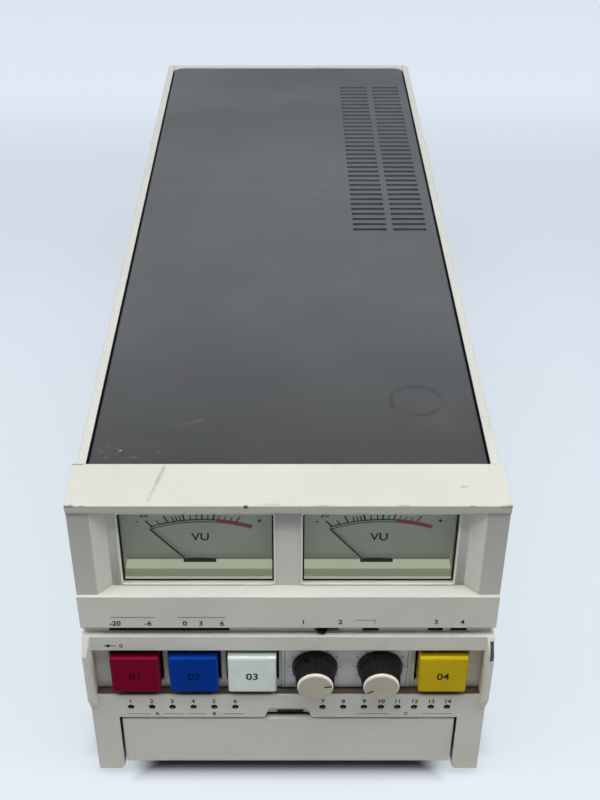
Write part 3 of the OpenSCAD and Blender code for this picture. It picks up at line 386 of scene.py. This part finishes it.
def cover_finish():
    """Dark grained cover, paler towards its middle with dust and a painted reflection, with a scuff, smudges
    and a cup's ring.
    """
    s = Surface("cover_paint", 0.42, specular=0.8)
    depth, height = s.axis(1), s.axis(2)
    # Paler towards the middle: dust and a painted reflection.
    dust_and_reflection = s.math(
        "MULTIPLY",
        s.ramp(depth, mm(0, 0, 0).y, mm(0, 135, 0).y),
        s.ramp(depth, mm(0, 230, 0).y, mm(0, 370, 0).y, 1.0, 0.62),
    )
    front_tone = s.mottled((0.027, 0.028, 0.0275), 0.10, 22)
    middle_tone = s.mottled((0.070, 0.0735, 0.0755), 0.10, 22)
    tone = s.mix(dust_and_reflection, front_tone, middle_tone)
    dust = s.ramp(s.noise(16, 6), 0.52, 0.78, 0.0, 0.10)
    tone = s.mix(dust, tone, (0.22, 0.22, 0.22))
    off_ring = s.math("ABSOLUTE", s.math("SUBTRACT", s.distance(CUP_MIDDLE), CUP_R))
    broken = s.ramp(s.noise(110), 0.35, 0.6, 0.1, 0.6)
    ring = s.math("MULTIPLY", s.ramp(off_ring, 0.0003, 0.0015, 1.0, 0.0), broken)
    tone = s.mix(ring, tone, (0.012, 0.012, 0.013))
    for x, y, reach, strength in SMUDGES:
        smudge = s.ramp(s.distance(mm(x, y, TOP)), reach * 0.3, reach, strength, 0.0)
        smudge = s.math("MULTIPLY", smudge, s.ramp(s.noise(150, 5), 0.48, 0.62))
        tone = s.mix(smudge, tone, (0.10, 0.088, 0.075))
    scuff = s.streak(mm(-62, 27, TOP), mm(-46, 28, TOP), 0.008)
    scratchy = s.ramp(s.noise(700, 6, (0.7, 1.0, 1.0)), 0.5, 0.85, 0.0, 0.13)
    tone = s.mix(s.math("MULTIPLY", scuff, scratchy), tone, (0.5, 0.5, 0.49))
    for start, end, width, strength in COVER_MARKS:
        mark = s.math("MULTIPLY", s.streak(start, end, width), strength)
        tone = s.mix(mark, tone, SCRATCH_TONE)
    worn = s.math("MULTIPLY", s.edges(0.0005), s.ramp(s.noise(120, 4), 0.55, 0.7, 0.0, 0.6))
    tone = s.mix(worn, tone, (0.3, 0.3, 0.3))
    # The walls of the slots paler towards the rear, and painted shade in the gaps along the sides
    walls = s.ramp(height, TOP / 1000 - 0.0002, TOP / 1000 - 0.0001, 1.0, 0.0)
    paler_to_rear = s.ramp(depth, mm(0, 190, 0).y, mm(0, 340, 0).y, 0.0, 0.8)
    tone = s.mix(s.math("MULTIPLY", walls, paler_to_rear), tone, (0.125, 0.135, 0.155))
    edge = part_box("top_cover")[1].x
    # Painted shade: black along the side edges, where the gap to the walls is.
    sides = s.ramp(s.math("ABSOLUTE", s.axis(0)), edge - 0.0004, edge - 0.0003)
    s.set("Base Color", s.mix(sides, tone, (0.004, 0.004, 0.004)))
    s.set("Roughness", s.ramp(s.noise(12, 5), 0.3, 0.7, 0.36, 0.5))
    s.relief(s.noise(2200, 3), 0.00003, 0.0003)
    return s.material


CAP_ROUND = 0.0011


def key_finish(name, tone, edge, gloss, shade):
    """Key cap with a painted highlight on its edges and painted shade on its top behind the front edge."""
    s = plastic(f"{name}_cap", tone, 0.3, specular=gloss, rounding=CAP_ROUND, edge=edge)
    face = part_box(f"{name}_button")[0].y
    # Painted shade: the top face behind the front edge is darker.
    behind_edge = s.ramp(s.axis(1), face + 0.0006, face + 0.0018)
    painted_top_shading = s.math("MULTIPLY", s.ramp(s.facing(2), 0.5, 0.9), behind_edge)
    s.set("Base Color", s.mix(painted_top_shading, s.base(), tuple(c * shade for c in tone)))
    return s.material


KNOB_Z = 58.4
KNOB_X = (9.7, 33.4)
RIM_HIGHLIGHT_REACH = (0.0060, 0.0062)


def knob_cap_finish():
    """Cream cap with a painted highlight: a paler ring on its bevelled edge."""
    s = plastic("knob_cream", (0.45, 0.41, 0.325), 0.38)
    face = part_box("left_knob_cap")[0].y
    reach = [s.distance((x / 1000, face, KNOB_Z / 1000)) for x in KNOB_X]
    # Painted highlight on the cap's rim.
    ring = s.ramp(s.math("MINIMUM", *reach), *RIM_HIGHLIGHT_REACH, 0.0, 0.9)
    s.set("Base Color", s.mix(ring, s.base(), (0.80, 0.77, 0.67)))
    return s.material


def panel_finish():
    """Knob panel, paler along its top as painted light."""
    s = paint("pale_panel", (0.575, 0.577, 0.585), 0.5, chips=False)
    # Painted light: the top of the panel paler.
    painted_top_shading = s.ramp(s.axis(2), 0.060, 0.0635)
    s.set("Base Color", s.mix(painted_top_shading, s.base(), (0.90, 0.905, 0.895)))
    return s.material


def board_finish():
    """Green circuit board with a faint pattern of tracks."""
    s = Surface("board", 0.35, coat=0.3)
    tracks = s.ramp(s.noise(330, 1, (1.0, 0.25, 1.0)), 0.5, 0.54, 0.0, 0.7)
    tone = s.mix(tracks, (0.010, 0.075, 0.030), (0.022, 0.135, 0.060))
    patches = s.ramp(s.noise(50), 0.4, 0.8, 0.0, 0.25)
    s.set("Base Color", s.mix(patches, tone, (0.03, 0.05, 0.03)))
    return s.material


def dial_finish():
    """Scale card, a little yellowed and painted darker towards its foot as shadow; the step below it is
    painted paler and glows, as painted light.
    """
    s = Surface("dial_card", 0.75, specular=0.2)
    tone = s.mottled((0.66, 0.70, 0.65), 0.03, 60)
    tone = s.mix(s.ramp(s.noise(30, 4), 0.5, 0.85, 0.0, 0.25), tone, (0.58, 0.59, 0.48))
    low = span("meter_dials")[0].z
    # Painted shadow: darker near the foot of the card.
    foot = s.ramp(s.axis(2), (low + 2.2) / 1000, (low + 6.5) / 1000, 0.30, 0.0)
    tone = s.mix(foot, tone, (0.10, 0.10, 0.085))
    # Painted light: the step is paler than the card and glows.
    step = s.ramp(s.axis(1), mm(0, 14.3, 0).y, mm(0, 14.4, 0).y, 1.0, 0.0)
    flat = s.ramp(s.axis(1), mm(0, 9.3, 0).y, mm(0, 9.7, 0).y)
    s.set("Base Color", s.mix(step, tone, (0.80, 0.81, 0.66)))
    s.set("Emission Color", (0.93, 1.0, 0.74, 1))
    s.set("Emission Strength", s.math("MULTIPLY", step, s.ramp(flat, 0.0, 1.0, 0.085, 0.30)))
    return s.material


def meter_case_finish():
    """Black rim and shell, pale inside so that light reaches the card; its sill under the window glows as
    painted light.
    """
    s = Surface("meter_case", 0.6, specular=0.2)
    inside = s.ramp(s.axis(1), mm(0, 6.65, 0).y, mm(0, 6.75, 0).y)
    shell = s.mottled((0.006, 0.006, 0.007), 0.1, 120)
    s.set("Base Color", s.mix(inside, shell, s.mottled((0.72, 0.73, 0.60), 0.04, 70)))
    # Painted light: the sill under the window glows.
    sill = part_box("meter_windows")[0].z
    glow = s.math("MULTIPLY", inside, s.ramp(s.axis(2), sill + 0.0001, sill + 0.0003, 0.26, 0.0))
    s.set("Emission Color", (1.0, 1.0, 0.87, 1))
    s.set("Emission Strength", glow)
    return s.material


def glass_finish():
    """Clear faintly green window that reflects a little, with smears on it."""
    s = Surface("clear_window", 0.05)
    clear = s.node("ShaderNodeBsdfTransparent")
    clear.inputs["Color"].default_value = (0.97, 0.98, 0.965, 1)
    gloss = s.node("ShaderNodeBsdfGlossy")
    s.feed(gloss.inputs["Roughness"], s.ramp(s.noise(70, 4), 0.4, 0.75, 0.03, 0.12))
    fresnel = s.node("ShaderNodeFresnel")
    fresnel.inputs["IOR"].default_value = 1.2
    blend = s.node("ShaderNodeMixShader")
    s.link(fresnel.outputs[0], blend.inputs[0])
    s.link(clear.outputs[0], blend.inputs[1])
    s.link(gloss.outputs[0], blend.inputs[2])
    s.link(blend.outputs[0], s.output.inputs["Surface"])
    s.tree.nodes.remove(s.shader)
    return s.material


cream = front_finish()
cream_case = case_finish()
cream_rear = paint("cream_rear_paint", CASE_CREAM).material
cover = cover_finish()
alloy = metal("alloy", (0.72, 0.73, 0.75), 0.38).material
steel = metal("steel", (0.60, 0.61, 0.63), 0.28).material
rubber = plastic("rubber", (0.022, 0.022, 0.024), 0.75, specular=0.3).material
black_plastic = plastic("black_plastic", (0.010, 0.010, 0.011), 0.38, specular=0.25).material
knob_black = plastic("knob_black", (0.008, 0.008, 0.009), 0.36, specular=0.25, rounding=0.00015).material
lamp_black = plastic("lamp_black", (0.003, 0.003, 0.003), 0.4, specular=0.04).material
lamp_dark = plastic("lamp_dark", (0.003, 0.003, 0.002), 0.35, specular=0.04).material
lamp_green = plastic("lamp_green", (0.002, 0.016, 0.008), 0.35, specular=0.04).material
# Key caps: tone, edge colour painted as a highlight, gloss, and the share of the tone kept in the painted
# shade on top
red_cap = key_finish("red", (0.205, 0.0005, 0.026), (0.46, 0.03, 0.09), 0.02, 0.24)
blue_cap = key_finish("blue", (0.0003, 0.040, 0.31), (0.02, 0.12, 0.55), 0.02, 0.36)
white_cap = key_finish("white", (0.76, 0.85, 0.82), (0.95, 0.97, 0.95), 0.2, 0.5)
yellow_cap = key_finish("yellow", (0.62, 0.45, 0.006), (0.85, 0.66, 0.06), 0.04, 0.28)
needle_black = plastic("needle_black", (0.008, 0.008, 0.009), 0.6, specular=0.1).material
catch_blue = plastic("catch_blue", (0.045, 0.05, 0.075), 0.4).material
knob_cream = knob_cap_finish()
pale_panel = panel_finish()
board = board_finish()
gauze = plastic("gauze", (0.20, 0.205, 0.215), 0.8, specular=0.2).material
meter_case = meter_case_finish()
dial_card = dial_finish()
clear_window = glass_finish()
print_black = ink("print_black", (0.018, 0.018, 0.018), gloss=0.04)
print_red = ink("print_red", (0.36, 0.035, 0.065))
print_grey = ink("print_grey", (0.16, 0.16, 0.17))
# Painted reflection: pale ink for the spots on the lamps.
painted_tip_reflection = ink("painted_tip_reflection", (0.20, 0.205, 0.19))
pointer_dark = ink("pointer_dark", (0.010, 0.009, 0.008), (0.03, 0.03, 0.027), 0.2)
key_mark_red = ink("key_mark_red", (0.045, 0.001, 0.008), (0.09, 0.001, 0.012), 0.02)
key_mark_blue = ink("key_mark_blue", (0.001, 0.010, 0.065), (0.001, 0.018, 0.13), 0.02)

finish = {
    cream: ["meter_bezel", "control_bezel", "indicator_strip", "button_panel", "cartridge_door"],
    cream_case: ["side_wall_left", "side_wall_right"],
    cream_rear: ["rear_panel"],
    cover: ["top_cover"],
    alloy: [
        "base_plate", "corner_blocks", "pot_bodies", "deck_plate", "cartridge_rails", "head_base",
        "arm_bearing",
    ],
    steel: [
        "case_screws", "door_pins", "left_pot_shaft", "right_pot_shaft", "pot_nuts", "meter_movements",
        "motor_bridge", "capstan", "tape_heads", "pinch_arm", "solenoid_plunger",
    ],
    rubber: ["feet", "pinch_roller"],
    pale_panel: ["knob_panel"],
    black_plastic: [
        "notch_sensor", "button_housings", "capstan_motor", "pinch_solenoid", "transformer", "rear_sockets",
        "mains_inlet", "fuse_holder",
    ],
    knob_black: ["left_knob", "right_knob"],
    knob_cream: ["left_knob_cap", "right_knob_cap"],
    lamp_black: ["band_lamps", "slide_lever", "small_key", "strip_switches"],
    lamp_dark: ["dark_lamps"],
    lamp_green: ["green_lamps"],
    red_cap: ["red_button"],
    blue_cap: ["blue_button"],
    white_cap: ["white_button"],
    yellow_cap: ["yellow_button"],
    board: ["front_board", "power_board", "audio_board"],
    dial_card: ["meter_dials"],
    meter_case: ["meter_cases"],
    clear_window: ["meter_windows"],
    needle_black: ["left_needle", "right_needle"],
}
for material, names in finish.items():
    for name in names:
        mesh = nodes[name].data
        mesh.materials.clear()
        mesh.materials.append(material)

# Printed pieces: their gap to the face behind them and their thickness
PRINT_GAP = 0.02
PRINT_T = 0.03
# Weight added to the letters' strokes, as a share of their size
BOLDNESS = 0.018


def show(obj, material, body):
    """Put an object in the scene with its material, riding on a body."""
    bpy.context.scene.collection.objects.link(obj)
    obj.data.materials.append(material)
    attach(obj, body)


def mesh_piece(name, verts, faces, material, body="case"):
    mesh = bpy.data.meshes.new(name)
    mesh.from_pydata(verts, [], faces)
    mesh.update()
    show(bpy.data.objects.new(name, mesh), material, body)


def sheet_mesh(name, outlines, y, material, body="case", thick=PRINT_T):
    """Flat shapes in the front view, each a list of (x, z) in millimetres, lying just in front of y."""
    verts, faces = [], []
    for outline in outlines:
        base, count = len(verts), len(outline)
        for depth in (y - PRINT_GAP, y - PRINT_GAP - thick):
            verts += [mm(x, depth, z) for x, z in outline]
        front = [base + count + k for k in range(count)]
        back = [base + k for k in range(count)]
        faces += [front, back[::-1]]
        faces += [[back[k], back[(k + 1) % count], front[(k + 1) % count], front[k]] for k in range(count)]
    mesh_piece(name, verts, faces, material, body)


def stroke(start, end, width):
    """Outline of a straight line between two (x, z) points."""
    (x0, z0), (x1, z1) = start, end
    length = math.hypot(x1 - x0, z1 - z0)
    nx, nz = -(z1 - z0) / length * width / 2, (x1 - x0) / length * width / 2
    return [(x0 + nx, z0 + nz), (x1 + nx, z1 + nz), (x1 - nx, z1 - nz), (x0 - nx, z0 - nz)]


def arc_band(centre, radius, a0, a1, inner, outer, steps=24):
    """Outlines of a curved band, in short pieces; angles in degrees, clockwise from upright."""
    pieces = []
    for k in range(steps):
        b0, b1 = (math.radians(a0 + (a1 - a0) * step / steps) for step in (k, k + 1))
        ring = [(b0, radius + inner), (b0, radius + outer), (b1, radius + outer), (b1, radius + inner)]
        pieces.append([(centre[0] + r * math.sin(b), centre[1] + r * math.cos(b)) for b, r in ring])
    return pieces


def numeral(name, words, x, y, z, size, material, body="case"):
    """A plain number or sign on a face that looks to the front, centred at (x, z)."""
    curve = bpy.data.curves.new(name, "FONT")
    curve.body = words
    curve.size = size / 1000
    curve.extrude = PRINT_T / 2000
    curve.align_x = "CENTER"
    curve.align_y = "CENTER"
    curve.resolution_u = 4
    curve.offset = size * BOLDNESS / 1000
    obj = bpy.data.objects.new(name, curve)
    obj.location = mm(x, y - PRINT_GAP - PRINT_T / 2, z)
    obj.rotation_euler = (math.radians(90), 0, 0)
    show(obj, material, body)


# Level meters: scale line, red end, ticks and numbers
DIAL_LOW = span("meter_dials")[0].z
DIAL_Y = 14.5
METER_X = 31.05
PIVOT_Z = 96.2
SCALE_MID = (1.48, 69.0)
SCALE_R = 50.3
SCALE_LEFT, SCALE_RED, SCALE_RIGHT = -21.2, 5.2, 20.0
SLOT_X, SLOT_Z = 5.7, 101.2
SIGN_Z, UNIT_Z = 118.6, 111.3
SCALE_NUMBERS = ((-18.6, "20"), (-12.3, "10"), (-6.2, "5"), (1.7, "3"), (6.4, "0"), (15.8, "3"))
TICKS = [-16.0, -13.2, -10.3, -8.2, -7.0, -5.8, -4.6, -2.5, -0.4, 1.4, 3.3, 5.2]
RED_TICKS = [7.0, 8.9, 10.9, 13.0]
LONG_TICKS = (-16.0, -10.3, -4.6, 1.4, 5.2, 13.0)


def scale_height(x):
    """Height of the scale line at a distance from the meter's middle."""
    return SCALE_MID[1] + math.sqrt(SCALE_R**2 - (x - SCALE_MID[0]) ** 2)


def scale_tick(meter, x):
    """A tick that points away from the needle's pivot."""
    z = scale_height(x)
    lean = math.atan2(x, z - PIVOT_Z)
    length = 3.3 if x in LONG_TICKS else 2.2
    start = (meter + x, z)
    end = (meter + x + length * math.sin(lean), z + length * math.cos(lean))
    return stroke(start, end, 0.6 if x in LONG_TICKS else 0.42)


for side, meter in (("left", -METER_X), ("right", METER_X)):
    middle = (meter + SCALE_MID[0], SCALE_MID[1])
    line = arc_band(middle, SCALE_R, SCALE_LEFT, SCALE_RED, -0.25, 0.25)
    line += arc_band(middle, SCALE_R, SCALE_LEFT, SCALE_RED, -1.15, -0.8)
    sheet_mesh(f"{side}_scale", line + [scale_tick(meter, x) for x in TICKS], DIAL_Y, print_black)
    red = arc_band(middle, SCALE_R, SCALE_RED, SCALE_RIGHT, -1.15, 0.5)
    sheet_mesh(f"{side}_scale_red", red + [scale_tick(meter, x) for x in RED_TICKS], DIAL_Y, print_red)
    for k, (x, words) in enumerate(SCALE_NUMBERS):
        material = print_red if x > 10 else print_black
        z = scale_height(max(-16, min(x, 16))) + 5.2
        numeral(f"{side}_scale_number_{k + 1}", words, meter + x, DIAL_Y, z, 3.0, material)
    for x, words in ((-21.0, "-"), (21.2, "+")):
        sign = "minus" if x < 0 else "plus"
        numeral(f"{side}_scale_{sign}", words, meter + x, DIAL_Y, SIGN_Z, 3.4, print_black)
    numeral(f"{side}_scale_unit", "VU", meter + 0.6, DIAL_Y, UNIT_Z, 4.8, print_black)
    turns = [k * math.pi / 12 for k in range(13)]
    slot = [(meter + SLOT_X * math.cos(a), SLOT_Z + 0.5 * math.sin(a)) for a in turns]
    slot += [(meter - SLOT_X, DIAL_LOW), (meter + SLOT_X, DIAL_LOW)]
    sheet_mesh(f"{side}_needle_slot", [slot], DIAL_Y, lamp_black)

# Scale band over the lamp bar and the small controls, on the front plane
FACE_Y = 0.0
BAND_LINE_Z, BAND_NUMBER_Z, BAND_PLACE_Z = 87, 83.9, 84.6
marks = [stroke((a, BAND_LINE_Z), (b, BAND_LINE_Z), 0.28) for a, b in ((-62, -46.5), (-38.5, -21.7))]
marks += [stroke((23.5, 85.6), (30.5, 85.6), 0.25), stroke((30.4, 85.7), (30.4, 84.0), 0.25)]
sheet_mesh("band_lines", marks, FACE_Y, print_grey)
for x, words in ((-60.7, "-20"), (-49.1, "-6"), (-36.2, "0"), (-30.6, "3"), (-23.2, "6")):
    name = f"band_number_{words}".replace("-", "minus")
    numeral(name, words, x, FACE_Y, BAND_NUMBER_Z, 3.1, print_black)
for k, x in enumerate((5.3, 18.3, 51.8, 61.0)):
    numeral(f"band_place_{k + 1}", str(k + 1), x, FACE_Y, BAND_PLACE_Z, 3.0, print_black)

# Arrow on the strip over the keys
arrow = [[(-65.6, 72.8), (-63.6, 73.6), (-63.6, 72.0)], stroke((-63.7, 72.8), (-61.4, 72.8), 0.3)]
sheet_mesh("strip_arrow", arrow, FACE_Y, print_black)
numeral("strip_number", "0", -59.5, FACE_Y, 72.7, 2.6, print_black)

# Numbers over the small lamps and the lines that group them
LAMP_X = [-58.3, -50.5, -42.9, -35.1, -27.4, -19.6, 12.7, 20.4, 28.1, 34.4, 40.5, 46.7, 52.9, 58.9]
LAMP_Z, LAMP_NUMBER_Z, LAMP_GROUP_Z = 39.8, 43.5, 36.7
for k, x in enumerate(LAMP_X):
    numeral(f"lamp_number_{k + 1}", str(k + 1), x, FACE_Y, LAMP_NUMBER_Z, 2.7, print_black)
groups = [(-60.0, -51.5), (-46.0, -39.1), (-37.2, -31.0), (-24.0, -16.4), (25.9, 37.5), (50.0, 61.2)]
lines = [stroke((a, LAMP_GROUP_Z), (b, LAMP_GROUP_Z), 0.22) for a, b in groups]
sheet_mesh("lamp_lines", lines, FACE_Y, print_grey)
for words, x in (("A", -48.75), ("B", -27.5), ("C", 43.8)):
    numeral(f"lamp_group_{words}", words, x, FACE_Y, LAMP_GROUP_Z, 2.3, print_black)

# Painted reflections: pale spots on the tip of each lamp, which stand a little behind the front plane
TIP_Y, TIP_X, TIP_Z = 0.2, 0.34, 0.26
tip_reflections = []
for x in LAMP_X:
    turns = [k * math.pi / 6 for k in range(12)]
    tip_reflections.append([(x + TIP_X * math.cos(a), LAMP_Z + TIP_Z * math.sin(a)) for a in turns])
sheet_mesh("lamp_tip_reflections", tip_reflections, TIP_Y, painted_tip_reflection)

# Numbers on the keys
KEY_MARK_Z, KEY_MARK_SIZE = 58.8, 4.6
for body, x, words, material in (
    ("red_button", -55.2, "01", key_mark_red),
    ("blue_button", -34.1, "02", key_mark_blue),
    ("white_button", -13.0, "03", print_black),
    ("yellow_button", 55.9, "04", print_black),
):
    face = span(body)[0].y
    numeral(f"{body}_mark", words, x, face, KEY_MARK_Z, KEY_MARK_SIZE, material, body)

# Knob plate: ticks round the knobs and a thin border
plate_low, plate_high = span("knob_panel")
TICK_START, TICK_END, LONG_TICK_END = 8.9, 9.9, 10.3
ticks = []
for x in KNOB_X:
    for k in range(11):
        a = math.radians(-150 + 30 * k)
        reach = LONG_TICK_END if k in (0, 5, 10) else TICK_END
        ends = [(x + r * math.sin(a), KNOB_Z + r * math.cos(a)) for r in (TICK_START, reach)]
        if all(plate_low.z + 0.3 < z < plate_high.z - 0.3 for _, z in ends):
            ticks.append(stroke(*ends, 0.35))
border_x = (plate_low.x + 1.0, plate_high.x - 1.0)
ticks += [stroke((x, plate_low.z + 0.4), (x, plate_high.z - 0.4), 0.22) for x in border_x]
sheet_mesh("knob_ticks", ticks, plate_low.y, print_grey)

# Pointer lines in the grooves of the knob caps
GROOVE_DEPTH, GROOVE_FILL, GROOVE_W = 0.5, 0.4, 0.79
GROOVE_FACE = span("left_knob_cap")[0].y + GROOVE_DEPTH
for side, x, turn in (("left", KNOB_X[0], 82), ("right", KNOB_X[1], -118)):
    a = math.radians(turn)
    ends = [(x + r * math.sin(a), KNOB_Z + r * math.cos(a)) for r in (3.22, 5.9)]
    line = stroke(*ends, GROOVE_W)
    sheet_mesh(f"{side}_pointer", [line], GROOVE_FACE, pointer_dark, f"{side}_knob", GROOVE_FILL)

# Dust gauze in a thin frame under the slots of the cover
GAUZE_T, FRAME_T, FRAME_W = 0.0003, 0.0012, 0.0015
BOX_FACES = ((3, 2, 1, 0), (4, 5, 6, 7), (0, 1, 5, 4), (1, 2, 6, 5), (2, 3, 7, 6), (3, 0, 4, 7))
low, high = mm(28.6, 190.6, 0), mm(64.0, 375.4, 0)
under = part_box("top_cover")[0].z - 0.00002
panes = [(low.x, high.x, low.y, high.y, GAUZE_T)]
panes += [(x, x + FRAME_W, low.y, high.y, FRAME_T) for x in (low.x, high.x - FRAME_W)]
panes += [(low.x, high.x, y, y + FRAME_W, FRAME_T) for y in (low.y, high.y - FRAME_W)]
verts, faces = [], []
for x0, x1, y0, y1, thick in panes:
    base = len(verts)
    corners = ((x0, y0), (x1, y0), (x1, y1), (x0, y1))
    verts += [(x, y, z) for z in (under - thick, under) for x, y in corners]
    faces += [[base + k for k in quad] for quad in BOX_FACES]
mesh_piece("vent_gauze", verts, faces, gauze)

# Dark catch set into the right cheek
CATCH_X = (71.6, 72.9)
catch = [(0.0, 68.2), (1.0, 68.0), (1.0, 75.0), (-0.6, 75.0), (-3.6, 71.0), (-3.8, 68.2)]
verts = [mm(x, y, z) for x in CATCH_X for y, z in catch]
count = len(catch)
faces = [list(range(count))[::-1], list(range(count, 2 * count))]
faces += [[k, (k + 1) % count, count + (k + 1) % count, count + k] for k in range(count)]
mesh_piece("cheek_catch", verts, faces, catch_blue)


# Floor seen by the camera: from the near end to the rear of the object
NEAR_Y, REAR_Y = -0.28, 0.2
NEAR_TINT, FAR_TINT = (0.85, 0.925, 1.0), (0.80, 0.885, 1.0)


def pale_floor():
    """Pale floor that turns a little bluer behind the object, with a faint mottle and a painted shadow under
    the object.
    """
    s = Surface("pale_floor", 0.6, specular=0.2)
    tone = s.mottled((0.25, 0.262, 0.28), 0.015, 3)
    rays = s.node("ShaderNodeLightPath").outputs
    seen = s.math("MAXIMUM", rays["Is Camera Ray"], rays["Is Glossy Ray"])
    seen = s.math("MAXIMUM", seen, rays["Is Transmission Ray"])
    s.set("Base Color", s.mix(seen, (0.45, 0.46, 0.47), tone))
    shade = s.node("ShaderNodeAmbientOcclusion", samples=8)
    shade.inputs["Distance"].default_value = 0.02
    near = s.ramp(shade.outputs["AO"], 0.3, 0.8)
    # Painted shadow: between the front pillars the floor's glow fades, so it darkens towards the gap under
    # the door, and under the object where it is occluded
    beside = s.ramp(s.math("ABSOLUTE", s.axis(0)), 0.050, 0.063)
    ahead = s.ramp(s.axis(1), mm(0, -4, 0).y, mm(0, 7, 0).y, 1.0, 0.0)
    behind = s.ramp(s.axis(1), REAR_Y, REAR_Y + 0.035)
    gap = s.math("MAXIMUM", s.math("MAXIMUM", beside, ahead), behind)
    back = s.ramp(s.axis(1), mm(0, 8, 0).y, mm(0, 16, 0).y)
    outside_painted_shadow = s.math("MINIMUM", gap, s.math("MAXIMUM", near, s.math("SUBTRACT", 1.0, back)))
    # Behind the object the floor is a little dimmer, then paler again far away
    glow = s.ramp(s.axis(1), NEAR_Y, REAR_Y, 0.60, 0.585)
    glow = s.math("ADD", glow, s.ramp(s.axis(1), 0.13, 0.32, 0.0, -0.055))
    glow = s.math("ADD", glow, s.ramp(s.axis(1), 0.34, 0.55, 0.0, 0.15))
    s.set("Emission Color", s.mix(s.ramp(s.axis(1), NEAR_Y, REAR_Y), NEAR_TINT, FAR_TINT))
    s.set("Emission Strength", s.math("MULTIPLY", seen, s.math("MULTIPLY", glow, outside_painted_shadow)))
    return s.material


bpy.ops.mesh.primitive_plane_add(size=8, location=(0, 0, 0))
floor = bpy.context.object
floor.name = "floor"
floor.data.materials.append(pale_floor())

# Level of the surroundings over the height of the view direction, from 0 at the horizon to 1 overhead.
# Seen in gloss, they are brightest at the height that the cover mirrors about its middle.
SKY_LEVELS = ((0.0, 0.85), (0.20, 0.82), (0.34, 0.6), (0.45, 1.65), (0.60, 0.15), (1.0, 0.35))
SKY_TINT = (0.86, 0.92, 1.0, 1)
FILL_TINT, FILL_LEVEL = (0.97, 0.98, 1.0, 1), 0.06


def studio_world():
    """Pale surroundings for what is seen, directly or in gloss, and a weak even fill light."""
    world = bpy.data.worlds.new("studio")
    bpy.context.scene.world = world
    world.use_nodes = True
    made, link = world.node_tree.nodes, world.node_tree.links.new
    made.clear()
    output = made.new("ShaderNodeOutputWorld")
    seen = made.new("ShaderNodeBackground")
    seen.inputs["Color"].default_value = SKY_TINT
    fill = made.new("ShaderNodeBackground")
    fill.inputs["Color"].default_value = FILL_TINT
    fill.inputs["Strength"].default_value = FILL_LEVEL
    heading = made.new("ShaderNodeTexCoord")
    parts = made.new("ShaderNodeSeparateXYZ")
    levels = made.new("ShaderNodeValToRGB")
    levels.color_ramp.interpolation = "B_SPLINE"
    for k, (height, level) in enumerate(SKY_LEVELS):
        stop = levels.color_ramp.elements[k] if k < 2 else levels.color_ramp.elements.new(height)
        stop.position = height
        stop.color = (level, level, level, 1)
    link(heading.outputs["Generated"], parts.inputs[0])
    link(parts.outputs[2], levels.inputs[0])
    link(levels.outputs[0], seen.inputs["Strength"])
    rays = made.new("ShaderNodeLightPath")
    direct = made.new("ShaderNodeMath")
    direct.operation = "MAXIMUM"
    through = made.new("ShaderNodeMath")
    through.operation = "MAXIMUM"
    blend = made.new("ShaderNodeMixShader")
    link(rays.outputs["Is Camera Ray"], direct.inputs[0])
    link(rays.outputs["Is Glossy Ray"], direct.inputs[1])
    link(direct.outputs[0], through.inputs[0])
    link(rays.outputs["Is Transmission Ray"], through.inputs[1])
    link(through.outputs[0], blend.inputs[0])
    link(fill.outputs[0], blend.inputs[1])
    link(seen.outputs[0], blend.inputs[2])
    link(blend.outputs[0], output.inputs["Surface"])


studio_world()
LIGHT_AIM = (0, -0.18, 0.1)


def softbox(name, place, size, power):
    """Rectangular lamp aimed at the front of the object."""
    lamp = bpy.data.lights.new(name, "AREA")
    lamp.shape = "RECTANGLE"
    lamp.size, lamp.size_y = size
    lamp.energy = power
    obj = bpy.data.objects.new(name, lamp)
    obj.location = place
    obj.rotation_euler = (Vector(LIGHT_AIM) - Vector(place)).to_track_quat("-Z", "Y").to_euler()
    bpy.context.scene.collection.objects.link(obj)


softbox("key", (0.0, -0.52, 1.55), (1.8, 0.6), 15.6)
softbox("front", (0.0, -0.78, 1.6), (1.8, 0.25), 7.2)
for side in (-1, 1):
    softbox(f"side_{side + 1}", (side * 1.5, -0.25, 0.8), (0.8, 0.8), 11.5)

# Camera fitted to the photograph: place before the front plane, tilt, focal length and shift
CAMERA_PLACE = (0, -299.35, 389.76)
CAMERA_TILT = 35.07
FOCAL_LENGTH = 54.045
SENSOR_WIDTH = 36
SHIFT_X = 0.01475
camera = bpy.data.cameras.new("camera")
camera.lens = FOCAL_LENGTH
camera.sensor_width = SENSOR_WIDTH
camera.shift_x = SHIFT_X
camera.clip_start = 0.01
viewer = bpy.data.objects.new("camera", camera)
viewer.location = mm(*CAMERA_PLACE)
viewer.rotation_euler = (math.radians(90 - CAMERA_TILT), 0, 0)
bpy.context.scene.collection.objects.link(viewer)
bpy.context.scene.camera = viewer

bpy.context.scene.view_settings.view_transform = "Standard"

bpy.context.view_layer.update()
